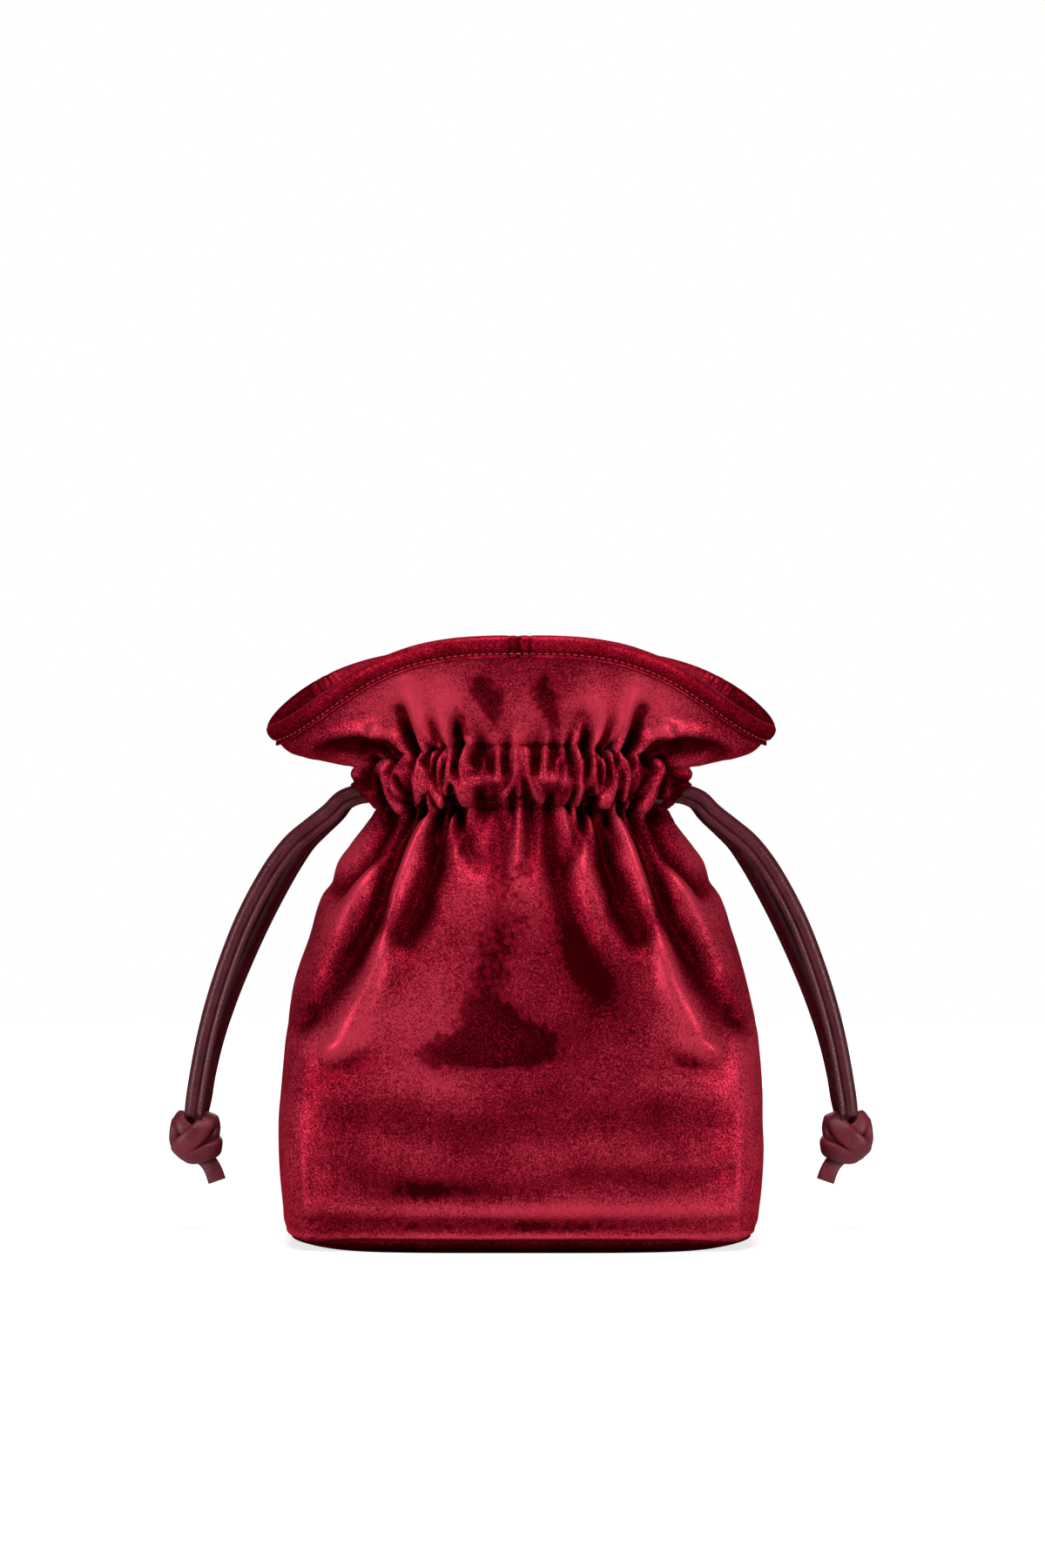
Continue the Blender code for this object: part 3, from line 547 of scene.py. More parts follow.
# %% Creases in the casing, in millimetres
# Inside the casing the ridges are narrow and bend, and some split over a dark wedge at the lower line
CASING_STROKES = (
    (((-71, 187.5), (-66, 183), (-60, 180)), (3.4, 3.4), (-2.4, -2.6, -1.2)),
    (((-74, 193.6), (-68, 193), (-63, 190.6)), (1.6, 1.2), (-1.5, -1.5, -0.4)),
    (((-61, 195), (-58.6, 187), (-56, 182.4)), (1.2, 1.5), (-2.6, -3.2, -2.6)),
    (((-55.4, 194), (-52.6, 187.5), (-49.6, 182)), (1.9, 2.0), (1.2, 1.6, 1.8)),
    (((-52.5, 195), (-48.5, 188), (-44.6, 180.6)), (1.0, 1.1), (-2.2, -2.6, -2.4)),
    (((-46, 197), (-42.6, 190.4), (-43, 181)), (1.9, 1.6), (1.3, 2.0, 2.2)),
    (((-40.2, 187.4), (-40.8, 180)), (0.9, 2.2), (-2.4, -4.6, -5.4)),
    (((-36.8, 184), (-36.4, 179)), (0.9, 1.4), (-0.6, -2.2, -3.4)),
    (((-40.8, 200.5), (-39.4, 194.7), (-36.0, 185.6), (-34.6, 180)), (1.5, 1.5), (1.4, 2.2, 2.0)),
    (((-35.9, 202), (-36.8, 194.7), (-35.2, 190.6)), (0.8, 0.8), (-1.6, -1.8, -0.6)),
    (((-33.7, 202), (-34.4, 194.7), (-33.6, 186)), (1.2, 1.3), (1.2, 1.4, 1.0)),
    (((-30.4, 205), (-32.7, 196.5), (-32.4, 191.4)), (0.8, 0.9), (-1.8, -2.4, -1.2)),
    (((-28.8, 204), (-29.8, 198.7), (-29.2, 194)), (1.4, 1.7), (2.2, 1.8, 1.8)),
    (((-29.4, 194), (-31.8, 190), (-32.8, 184.5)), (1.5, 1.3), (1.2, 1.4, 1.6)),
    (((-28.6, 194), (-26.4, 190.4), (-24.6, 184)), (1.5, 1.4), (1.4, 1.6, 1.8)),
    (((-29, 190.6), (-28.8, 186), (-28.6, 181.6)), (0.9, 2.3), (-2.6, -4.4, -5.2)),
    (((-26.2, 206), (-27.2, 198), (-26.0, 194)), (1.0, 0.9), (-2.4, -2.2, -0.8)),
    (((-21.8, 205.6), (-24.3, 200.8), (-24.5, 194.7), (-23.4, 184)), (1.2, 1.3), (1.8, 1.9, 1.0)),
    (((-19.6, 205), (-18.6, 200), (-19.2, 196.6)), (1.8, 1.6), (-2.0, -1.9, -0.6)),
    (((-21, 192.6), (-15, 193.4), (-9, 194)), (2.2, 2.4), (0.5, 0.9, 0.5)),
    (((-15.6, 203), (-15.0, 198), (-13.6, 194.6)), (1.2, 1.4), (0.8, 0.9, 0.5)),
    (((-12.4, 204), (-13.2, 197)), (1.4, 1.2), (-1.5, -1.3, -0.5)),
    (((-9.6, 206), (-9.2, 200), (-8.9, 195)), (1.4, 1.6), (1.1, 1.1, 0.6)),
    (((-6.6, 204), (-6.0, 196.4)), (1.5, 1.2), (-1.7, -1.5, -0.6)),
    (((-1.9, 205), (-2.3, 196), (-3.9, 192), (-6.2, 187.6)), (1.4, 1.2), (1.2, 1.6, 1.6)),
    (((-18, 189.5), (-17, 184.4)), (1.6, 1.4), (-0.7, -1.0, -1.0)),
    (((-10.4, 191), (-10.9, 184.4)), (1.6, 1.4), (-0.6, -0.9, -1.0)),
    (((-14, 190), (-14, 185)), (1.6, 1.5), (0.6, 0.8, 0.6)),
)
CASING_LEFT = (
    (((-5.6, 187.0), (-1.5, 186.0), (2.4, 186.6)), (0.9, 0.9), (-1.2, -1.8, -1.2)),
    (((1.6, 203), (1.8, 192)), (1.2, 1.2), (-0.9, -1.1, -0.6)),
)
CASING_RIGHT = (
    (((2.2, 205), (2.8, 196), (5.4, 190), (8.4, 186)), (1.4, 1.3), (1.0, 1.5, 1.3)),
    (((16.5, 206), (18.5, 198), (16.8, 190)), (1.2, 1.2), (1.0, 1.2, 0.9)),
)


print(len(CASING_STROKES), "creases are mirrored")

# %% From strokes to lifts
def mirrored(strokes):
    return tuple((tuple((-x, z) for x, z in way), widths, lifts) for way, widths, lifts in strokes)


def stroke_lift(points, strokes):
    """How far the strokes lift each point, measured as seen from the front."""
    x, z = points[:, :, 0] / MM, points[:, :, 2] / MM
    lift = np.zeros_like(x)
    for way, widths, lifts in strokes:
        way = np.array(way, float)
        spans = np.hypot(*np.diff(way, axis=0).T)
        starts = np.concatenate([[0.0], np.cumsum(spans)]) / spans.sum()
        nearest = np.full_like(x, np.inf)
        run = np.zeros_like(x)
        for (ax, az), (bx, bz), start, end in zip(way, way[1:], starts, starts[1:]):
            t = ((x - ax) * (bx - ax) + (z - az) * (bz - az)) / ((bx - ax) ** 2 + (bz - az) ** 2)
            t = np.clip(t, 0, 1)
            away = np.hypot(x - ax - t * (bx - ax), z - az - t * (bz - az))
            run = np.where(away < nearest, start + (end - start) * t, run)
            nearest = np.minimum(nearest, away)
        width = widths[0] + (widths[1] - widths[0]) * run
        height = np.interp(run, (0.0, 0.5, 1.0), lifts)
        lift += height * np.exp(-((nearest / width) ** 2))
    return lift * MM


front_strokes = BOTH_SIDES + mirrored(BOTH_SIDES) + LEFT_ONLY + RIGHT_ONLY + ROLLS
back_strokes = BOTH_SIDES + mirrored(BOTH_SIDES) + mirrored(LEFT_ONLY + RIGHT_ONLY + ROLLS)
front_creases = CASING_STROKES + mirrored(CASING_STROKES) + CASING_LEFT + CASING_RIGHT
back_creases = mirrored(front_creases)
print(len(front_strokes), "strokes and", len(front_creases), "creases on the front")

# %% Soft unevenness, and the grooves at the seams
HEM_ROLL_Z, HEM_ROLL, HEM_ROLL_HALF = 7.0 * MM, 0.8 * MM, 1.3 * MM
STITCH_SINK, STITCH_SINK_HALF = 1.3 * MM, 0.9 * MM
SIDE_GROOVE, SIDE_GROOVE_HALF = 0.9 * MM, 1.6 * MM
FOLD_STRENGTH, CREASE_STRENGTH = 1.55, 1.4
# Wide and fine unevenness: waves to the metre, and height
WIDE_ACROSS, WIDE_UP, WIDE_HEIGHT = 15, 27, 1.4 * MM
FINE_WAVES, FINE_HEIGHT = 75, 0.28 * MM


def softness(points, seed):
    """Low, wide unevenness that no hand-made cloth is without, in metres."""
    away = Vector((seed, seed, seed))
    flat = points.reshape(-1, 3)
    wide = [noise.noise(Vector((WIDE_ACROSS * x, WIDE_ACROSS * y, WIDE_UP * z)) + away) for x, y, z in flat]
    fine = [noise.noise(Vector(place) * FINE_WAVES + away) for place in flat]
    return (WIDE_HEIGHT * np.array(wide) + FINE_HEIGHT * np.array(fine)).reshape(points.shape[:2])


def seam_lines(points):
    """The grooves at the side seams and the casing's stitches, and the roll of the hem at the base."""
    z = points[:, :, 2]
    to_side = np.linalg.norm(points - points[:, :1], axis=2)
    to_side = np.minimum(to_side, np.linalg.norm(points - points[:, -1:], axis=2))
    side = -SIDE_GROOVE * np.exp(-((to_side / SIDE_GROOVE_HALF) ** 2)) * (up[:, None] < 1)
    across = HEM_ROLL * np.exp(-(((z - HEM_ROLL_Z) / HEM_ROLL_HALF) ** 2))
    for row in (BODY_ROWS, BODY_ROWS + CASING_ROWS):
        to_line = np.linalg.norm(points - points[row], axis=2)
        across = across - STITCH_SINK * np.exp(-((to_line / STITCH_SINK_HALF) ** 2))
    return side + across


in_casing = np.clip((0.62 - np.abs(up[:, None] - 1.5)) * 5, 0, 1)


def outward(points):
    along = np.gradient(points, axis=1)
    upward = np.gradient(points, axis=0)
    return unit(np.cross(along, upward))


def draped(points, gathers, strokes, creases, seed):
    """A panel's points with its gathers, folds and unevenness, and how far each was lifted."""
    edge_hold = np.clip((3 - up[:, None]) / 0.22, 0, 1)
    folds = FOLD_STRENGTH * stroke_lift(points, strokes)
    lift = gathers + folds * (1 - 0.85 * in_casing) * edge_hold
    lift += CREASE_STRENGTH * stroke_lift(points, creases) * in_casing
    lift += softness(points, seed) * edge_hold * (1 - 0.6 * in_casing)
    lift += seam_lines(points)
    normals = outward(points)
    if normals[BODY_ROWS // 2, COLUMNS // 2] @ points[BODY_ROWS // 2, COLUMNS // 2] < 0:
        normals = -normals
    return points + normals * lift[:, :, None], lift


front_points, front_lift = draped(smooth_front, front_gathers, front_strokes, front_creases, 3.0)
back_points, back_lift = draped(smooth_back, back_gathers, back_strokes, back_creases, 8.0)
print("lift from", round(front_lift.min() / MM, 1), "to", round(front_lift.max() / MM, 1), "mm")

# %% [markdown]
# Velvet
#
# Velvet is a dense pile of short fibres. Brushed one way it is deep and dark, and brushed the other way it is
# pale, with a satin glow where it turns to the light. So its colour is a ramp from the shaded pile to the
# brushed tips, and a partly metallic surface reflects the lights in the cloth's own red. Where a hand has
# brushed the pile, patches look darker or paler with no fold under them. Those marks are painted on the mesh
# as attributes, and noise breaks up their edges. The tone attribute also carries painted light and shade: the
# folds' valleys are darkened and their ridges lightened, and some patches are painted paler where the lights
# fall or darker where shade falls. The pile's own grain is far finer: it goes into colour and bump.

# %% Colours of the three velvets
# From the shaded pile to the brushed tips
VELVET_TONES = (
    (0.036, 0.0002, 0.0012, 1),
    (0.220, 0.0046, 0.0170, 1),
    (0.58, 0.0370, 0.0740, 1),
)
BAND_TONES = (
    (0.045, 0.0001, 0.0013, 1),
    (0.240, 0.0028, 0.0140, 1),
    (0.50, 0.0210, 0.0480, 1),
)
SHADED_TONES = (
    (0.006, 0.0001, 0.0002, 1),
    (0.050, 0.0005, 0.0018, 1),
    (0.18, 0.0036, 0.0120, 1),
)
SHEEN_TINT = (1.0, 0.09, 0.13, 1)
# The pile's smooth tips mirror the lights in the velvet's own red, as a metal would: this is the satin glow
SATIN = 0.52
print("satin share of the velvet:", SATIN)

# %% Helpers for a material's nodes
def noise_at(nodes, links, vector, scale, detail=3.0, rough=0.6):
    texture = nodes.new("ShaderNodeTexNoise")
    texture.inputs["Scale"].default_value = scale
    texture.inputs["Detail"].default_value = detail
    texture.inputs["Roughness"].default_value = rough
    links.new(vector, texture.inputs["Vector"])
    return texture.outputs["Fac"]


def sum_of(nodes, links, *terms):
    """Adds up sockets, each times its factor."""
    total = None
    for socket, factor in terms:
        step = nodes.new("ShaderNodeMath")
        step.operation = "MULTIPLY_ADD"
        links.new(socket, step.inputs[0])
        step.inputs[1].default_value = factor
        if total is None:
            step.inputs[2].default_value = 0.0
        else:
            links.new(total, step.inputs[2])
        total = step.outputs["Value"]
    return total


def remap(nodes, links, socket, low, high, to_low=0.0, to_high=1.0):
    spread = nodes.new("ShaderNodeMapRange")
    for name, value in (("From Min", low), ("From Max", high), ("To Min", to_low), ("To Max", to_high)):
        spread.inputs[name].default_value = value
    links.new(socket, spread.inputs["Value"])
    return spread.outputs["Result"]


def blend_colours(nodes, links, factor, first, second):
    mix = nodes.new("ShaderNodeMix")
    mix.data_type = "RGBA"
    for socket, colour in ((mix.inputs["A"], first), (mix.inputs["B"], second)):
        if isinstance(colour, tuple):
            socket.default_value = colour
        else:
            links.new(colour, socket)
    links.new(factor, mix.inputs["Factor"])
    return mix.outputs["Result"]


def ramp_of(nodes, links, socket, colours):
    """A colour ramp with its colours evenly spaced."""
    ramp = nodes.new("ShaderNodeValToRGB")
    ramp.color_ramp.elements[0].color, ramp.color_ramp.elements[1].color = colours[0], colours[-1]
    for number, colour in enumerate(colours[1:-1], 1):
        ramp.color_ramp.elements.new(number / (len(colours) - 1)).color = colour
    links.new(socket, ramp.inputs["Fac"])
    return ramp.outputs["Color"]


def give_bump(nodes, links, shader, height, strength, distance):
    bump = nodes.new("ShaderNodeBump")
    bump.inputs["Strength"].default_value = strength
    bump.inputs["Distance"].default_value = distance
    links.new(height, bump.inputs["Height"])
    links.new(bump.outputs["Normal"], shader.inputs["Normal"])


print("helpers for noise, sums, ranges, ramps and bump are ready")

# %% The velvet shader
# How fine the tufts, clumps and clouds of the pile are, as noise scales
TUFT_SCALE, CLUMP_SCALE, CLOUD_SCALE = 1300, 330, 38
# How strongly clouds, clumps and single tufts of the pile change its tone, and break up a brush mark's edge
CLOUD_SHARE, CLUMP_SHARE, TUFT_SHARE = 0.70, 0.40, 2.00
EDGE_CLOUD, EDGE_CLUMP, EDGE_TUFT = 1.10, 1.10, 0.90
# Between these strengths, a brush mark goes from nothing to its full darkness
MARK_FROM, MARK_TO = 0.36, 0.56
BRUSHED_DARKER = 0.56


def make_velvet(name, tones, marked=False):
    material, nodes, links = new_material(name)
    shader = nodes["Principled BSDF"]
    place = nodes.new("ShaderNodeTexCoord").outputs["Object"]
    tuft = noise_at(nodes, links, place, TUFT_SCALE, 2.0, 0.7)
    clump = noise_at(nodes, links, place, CLUMP_SCALE, 3.0, 0.65)
    cloud = noise_at(nodes, links, place, CLOUD_SCALE, 4.0, 0.62)
    terms = [(cloud, CLOUD_SHARE), (clump, CLUMP_SHARE), (tuft, TUFT_SHARE)]
    middle = (CLOUD_SHARE + CLUMP_SHARE + TUFT_SHARE) / 2
    if marked:
        # The pile's tone, with painted light and shade added to it on the panels, the band and the base
        nap_light_and_shade = nodes.new("ShaderNodeAttribute")
        nap_light_and_shade.attribute_name = "nap_light_and_shade"
        tone = sum_of(nodes, links, (nap_light_and_shade.outputs["Fac"], 1.0), *terms)
        tone = remap(nodes, links, tone, middle, middle + 1.0)
        brushed = nodes.new("ShaderNodeAttribute")
        brushed.attribute_name = "brushed"
        edge = (EDGE_CLOUD + EDGE_CLUMP + EDGE_TUFT) / 2
        broken = [(cloud, EDGE_CLOUD), (clump, EDGE_CLUMP), (tuft, EDGE_TUFT)]
        mark = sum_of(nodes, links, (brushed.outputs["Fac"], 1.0), *broken)
        mark = remap(nodes, links, mark, edge + MARK_FROM, edge + MARK_TO)
        tone = sum_of(nodes, links, (mark, -BRUSHED_DARKER), (tone, 1.0))
    else:
        tone = remap(nodes, links, sum_of(nodes, links, *terms), middle - 0.5, middle + 0.5)
    links.new(ramp_of(nodes, links, tone, tones), shader.inputs["Base Color"])
    shader.inputs["Metallic"].default_value = SATIN
    shader.inputs["Roughness"].default_value = 0.42
    shader.inputs["Specular IOR Level"].default_value = 0.0
    shader.inputs["Specular Tint"].default_value = SHEEN_TINT
    shader.inputs["Sheen Weight"].default_value = 0.08
    shader.inputs["Sheen Roughness"].default_value = 0.30
    shader.inputs["Sheen Tint"].default_value = SHEEN_TINT
    give_bump(nodes, links, shader, sum_of(nodes, links, (tuft, 0.6), (clump, 0.8)), 0.5, 0.0004)
    return material


velvet = make_velvet("velvet", VELVET_TONES, marked=True)
band_velvet = make_velvet("band_velvet", BAND_TONES, marked=True)
shaded_velvet = make_velvet("shaded_velvet", SHADED_TONES, marked=True)
print("velvet has", len(velvet.node_tree.nodes), "nodes")

# %% Brush marks in the pile, in millimetres: middle, half sizes, tilt in degrees, how dark
FRONT_MARKS = (
    (-5, 86, 25, 10, 2, 0.95),
    (-18, 84, 22, 6.5, 6, 0.80),
    (-11, 98, 12, 9, -16, 0.60),
    (-14, 118, 11, 18, -8, 0.42),
    (26, 118, 8, 18, 38, 0.70),
    (-3, 140, 18, 22, 0, 0.30),
    (8, 165, 24, 14, 0, 0.22),
    (-38, 26, 40, 4.5, 2, 0.52),
    (-62, 55, 20, 6, -10, 0.22),
    (36, 34, 34, 4.0, 0, 0.34),
    (60, 50, 22, 6, 8, 0.20),
    (-70, 77, 15, 4, 14, 0.38),
    (70, 78, 15, 4, -14, 0.38),
    (20, 64, 34, 5, 4, 0.24),
    (-16, 231, 7, 8, 20, 0.60),
    (-11, 221, 5, 10, -10, 0.66),
    (9, 231, 7, 9, -10, 0.56),
    (13, 220, 5, 9, 10, 0.62),
    (-25, 215, 4, 5, 0, 0.55),
    (-30, 222, 7, 10, 30, 0.30),
    (0, 11.2, 86, 3.0, 0, 0.52),
)
# Broad differences of tone, partly the pile's own and partly painted light and shade: paler sides where the
# side lights fall, painted highlights along the hem, across the casing's puff and on the ruffle's lobes, and
# painted shadows under the ruffle's side folds and under a lobe at the casing. The same numbers, but added,
# and pale where above zero
FRONT_TONES_LIGHT_AND_SHADE = (
    (-70, 140, 14, 42, -28, 0.16),
    (70, 140, 14, 42, 28, 0.16),
    (-97, 66, 9, 60, 0, 0.30),
    (97, 66, 9, 60, 0, 0.30),
    (-34, 110, 22, 30, 30, 0.12),
    (-71, 161, 8, 11, -30, 0.26),
    (71, 161, 8, 11, 30, 0.26),
    (58, 92, 26, 34, -20, 0.10),
    (0, 18, 90, 3.5, 0, 0.20),
    (0, 6.9, 110, 1.1, 0, 0.48),
    (0, 194.5, 80, 10.5, 0, -0.36),
    (-14, 194.4, 9, 2.0, 2, 0.26),
    (13, 194.8, 10, 2.0, -2, 0.26),
    (-60, 178, 7, 5, 40, -0.36),
    (60, 178, 7, 5, -40, -0.36),
    (-67, 208, 18, 3.2, 3, -0.62),
    (67, 208, 18, 3.2, -3, -0.62),
    (-73, 213.6, 14, 3.2, 3, -0.20),
    (73, 213.6, 14, 3.2, -3, -0.20),
    (4, 46, 46, 14, 0, -0.03),
    (-55, 227, 22, 12, 14, 0.52),
    (55, 227, 22, 12, -14, 0.52),
    (0, 212, 26, 5, 0, 0.24),
    (0, 222, 26, 7, 0, 0.18),
    (0, 150, 20, 18, 0, 0.18),
    (-84, 86, 10, 9, -20, 0.30),
    (-28, 222, 9, 12, 0, 0.22),
    (28, 222, 9, 12, 0, 0.22),
)
NAP_MIDDLE = 0.50
# Painted shade and highlight on the folds: how far the tone drops in a valley and rises on a ridge per
# millimetre of lift, how much more in the casing, and at most how far
FOLD_LIGHT_AND_SHADE, CASING_FOLD_LIGHT_AND_SHADE, MOST_FOLD_LIGHT_AND_SHADE = 0.17, 0.5, 0.62


def blots(points, marks):
    """Soft elliptical patches seen from the front, each times its strength, added up."""
    x, z = points[:, :, 0] / MM, points[:, :, 2] / MM
    total = np.zeros_like(x)
    for middle_x, middle_z, wide, tall, tilt, strength in marks:
        turn = math.radians(tilt)
        along = (x - middle_x) * math.cos(turn) + (z - middle_z) * math.sin(turn)
        across = (z - middle_z) * math.cos(turn) - (x - middle_x) * math.sin(turn)
        total += strength * np.exp(-((along / wide) ** 2 + (across / tall) ** 2))
    return total


def set_attribute(piece, name, values):
    attribute = piece.data.attributes.new(name, "FLOAT", "POINT")
    attribute.data.foreach_set("value", values.ravel().astype(np.float32))


def velvet_panel(name, points, lift, marks, tones, node):
    shape = shaped_grid(points)
    if name == "velvet_back":
        bmesh.ops.reverse_faces(shape, faces=shape.faces)
    panel = finished_piece(name, shape, velvet, [node])
    # Painted light and shade: sunk points of the folds are darkened and raised ones lightened, and the tone
    # patches add more painted light and shade
    painted_fold_light = FOLD_LIGHT_AND_SHADE * (1 + CASING_FOLD_LIGHT_AND_SHADE * in_casing) * lift / MM
    painted_fold_light = np.clip(painted_fold_light, -MOST_FOLD_LIGHT_AND_SHADE, 0.6 * MOST_FOLD_LIGHT_AND_SHADE)
    set_attribute(panel, "nap_light_and_shade", NAP_MIDDLE + painted_fold_light + blots(points, tones))
    set_attribute(panel, "brushed", blots(points, marks))
    wall = panel.modifiers.new("wall", "SOLIDIFY")
    wall.thickness = CLOTH
    wall.offset = -1.0
    wall.use_even_offset = False
    wall.use_quality_normals = True
    return panel


def turned_round(marks):
    return tuple((-x, z, wide, tall, -tilt, strength) for x, z, wide, tall, tilt, strength in marks)


velvet_front = velvet_panel("velvet_front", front_points, front_lift, FRONT_MARKS, FRONT_TONES_LIGHT_AND_SHADE, "body_front")
velvet_back = velvet_panel(
    "velvet_back", back_points, back_lift, turned_round(FRONT_MARKS), turned_round(FRONT_TONES_LIGHT_AND_SHADE), "body_back"
)
print("faces in a panel:", len(velvet_front.data.polygons))

# %% [markdown]
# The bound mouth
#
# A band of the same velvet is folded over the raw edge and sewn through with one line of stitches. Its
# section is drawn once, as a U with a soft roll at the top and a pinch at the stitches, and then follows the
# rim all the way round. A few tight pleats cross it where the band was eased in.

# %% Rolling a section along a path
def rolled(rings, closed=False):
    """Grid places of a tube through rings[station, point]. A closed one comes back to its first ring."""
    places = np.concatenate([rings, rings[:, :1]], axis=1)
    return np.concatenate([places, places[:1]], axis=0) if closed else places


def frames_along(front, back):
    """The rim as one ring, front then back, and the ways up along the cloth and out of it."""
    rim = np.concatenate([front[-1], back[-1][::-1][1:-1]])
    lower = np.concatenate([front[-12], back[-12][::-1][1:-1]])
    along = unit(np.roll(rim, -2, axis=0) - np.roll(rim, 2, axis=0))
    lean = unit(rim - lower)
    lean = unit(lean + np.roll(lean, 1, axis=0) + np.roll(lean, -1, axis=0))
    out = unit(np.cross(along, lean))
    return rim, lean, out


rim, lean, out = frames_along(front_points, back_points)
on_front = np.arange(len(rim)) <= COLUMNS
print("the rim has", len(rim), "places")

# %% The band's section and its pleats
# Out of the cloth and up from its edge, in millimetres
BAND_SECTION = (
    (0.2, -8.0), (1.6, -8.4), (2.4, -8.0), (2.5, -7.3), (1.8, -6.7), (0.9, -6.3), (1.5, -5.8), (2.1, -5.0),
    (2.3, -3.8), (2.2, -2.2), (1.8, -0.9), (1.2, 0.1), (0.3, 0.7), (-0.6, 0.9), (-1.5, 0.7), (-2.4, 0.1),
    (-2.9, -0.8), (-3.1, -2.6), (-3.1, -4.8), (-2.9, -6.4), (-2.0, -7.6), (-2.6, -8.3), (-2.5, -9.0),
    (-1.4, -9.1), (-1.35, -5.4), (-1.3, -0.3), (0.1, -0.3), (0.15, -5.4),
)
# Pleats: place along x in millimetres, on the front, half width, depth as a share of the section
PLEATS = (
    (-4.6, True, 1.0, 0.50), (-1.2, True, 1.1, 0.75), (3.4, True, 0.9, 0.55),
    (-84, False, 0.9, 0.6), (-88, False, 0.9, 0.75), (-92, False, 0.8, 0.5),
    (84, False, 0.9, 0.6), (88, False, 0.9, 0.75), (92, False, 0.8, 0.5),
)

fullness = np.ones(len(rim))
for place, front, half_width, depth in PLEATS:
    near = np.exp(-(((rim[:, 0] / MM - place) / half_width) ** 2))
    fullness -= depth * near * (on_front == front)
band_rings = np.stack([
    rim + (out_mm * fullness[:, None] * out + up_mm * lean) * MM
    for out_mm, up_mm in BAND_SECTION
], axis=1)
band = finished_piece(
    "bound_mouth", shaped_grid(rolled(band_rings, closed=True), weld=True), band_velvet,
    ["mouth_binding"],
)
print("band faces", len(band.data.polygons))

# %% Painted light and shade on the band's pile
# Down the outer face: millimetres up from the edge, and tone, with a painted highlight on the top roll and on
# the strip below the stitches, and painted shade in the stitch groove and under the band's edge
BAND_FACE_LIGHT_AND_SHADE = (
    (-8.6, 0.0), (-8.0, 0.30), (-7.4, 0.66), (-6.9, 0.60), (-6.4, 0.0), (-5.6, 0.32), (-3, 0.40),
    (0, 0.52), (0.9, 0.95),
)
# Painted light on the inner face, fading towards the sides, and painted shade that darkens the outer face
# towards the sides, by millimetres from the middle
BAND_INSIDE_LIGHT = ((60, 0.78), (80, 0.66), (92, 0.22), (106, 0.10))
BAND_SHADE = ((60, 0.0), (104, 0.24))
# Painted shade in a pleat: how much darker the pile is, and how much wider than the pleat
PLEAT_SHADE, PLEAT_SPREAD = 0.75, 1.3
# A place further in than this from the cloth's outer side is on the inner face
INNER_FACE = -0.7 * MM

finder = kdtree.KDTree(len(rim))
for number, place in enumerate(rim):
    finder.insert(place, number)
finder.balance()
nap_light_and_shade = []
for vert in band.data.vertices:
    station = finder.find(vert.co)[1]
    step = np.array(vert.co) - rim[station]
    from_middle = abs(vert.co.x) / MM
    # The inner face gets painted light, and the outer face painted highlight and shade down its height and in
    # the pleats
    if step @ out[station] < INNER_FACE:
        nap_light_and_shade.append(np.interp(from_middle, *zip(*BAND_INSIDE_LIGHT)))
    else:
        face = np.interp(step @ lean[station] / MM, *zip(*BAND_FACE_LIGHT_AND_SHADE))
        pleated = sum(
            depth * math.exp(-(((vert.co.x / MM - place) / (PLEAT_SPREAD * half_width)) ** 2))
            for place, front, half_width, depth in PLEATS
            if front == on_front[station]
        )
        nap_light_and_shade.append(face - np.interp(from_middle, *zip(*BAND_SHADE)) - PLEAT_SHADE * pleated)
set_attribute(band, "nap_light_and_shade", np.array(nap_light_and_shade))
print("tones of the band from", round(float(min(nap_light_and_shade)), 2), "to", round(float(max(nap_light_and_shade)), 2))

# %% [markdown]
# Threads
#
# A sewing machine leaves a row of short, even stitches that sink a little into the pile. One stitch is a
# stretched ball with few faces, because there are hundreds of them, and a helper lays a row of them along
# any line on the cloth.

# %% Laying a row of stitches
def evenly_along(line, pitch):
    """Places about a pitch apart along a line of points, as shares of its index."""
    run = np.concatenate([[0.0], np.cumsum(np.linalg.norm(np.diff(line, axis=0), axis=1))])
    count = max(2, round(run[-1] / pitch))
    return np.interp((np.arange(count) + 0.5) / count * run[-1], run, np.arange(len(line)))


def read_at(rows, index):
    low = np.clip(np.floor(index).astype(int), 0, len(rows) - 2)
    share = (index - low)[:, None]
    return rows[low] * (1 - share) + rows[low + 1] * share


def one_stitch():
    ball = bmesh.new()
    bmesh.ops.create_uvsphere(ball, u_segments=8, v_segments=5, radius=1.0)
    mesh = bpy.data.meshes.new("one_stitch")
    ball.to_mesh(mesh)
    ball.free()
    return mesh


stitch_mesh = one_stitch()


def add_stitches(shape, line, normals, pitch, length, thread):
    """Stitches along a line that lies on the cloth, each a stretched ball."""
    index = evenly_along(line, pitch)
    places, outs = read_at(line, index), unit(read_at(normals, index))
    after, before = np.minimum(index + 0.5, len(line) - 1), np.maximum(index - 0.5, 0)
    ways = unit(read_at(line, after) - read_at(line, before))
    for place, way, out in zip(places, ways, outs):
        side = np.cross(out, way)
        turn = Matrix((Vector(way), Vector(side), Vector(out))).transposed().to_4x4()
        size = Matrix.Diagonal((length / 2, thread / 2, thread / 2, 1))
        stitch = stitch_mesh.copy()
        stitch.transform(Matrix.Translation(place) @ turn @ size)
        shape.from_mesh(stitch)
        bpy.data.meshes.remove(stitch)
    return len(index)


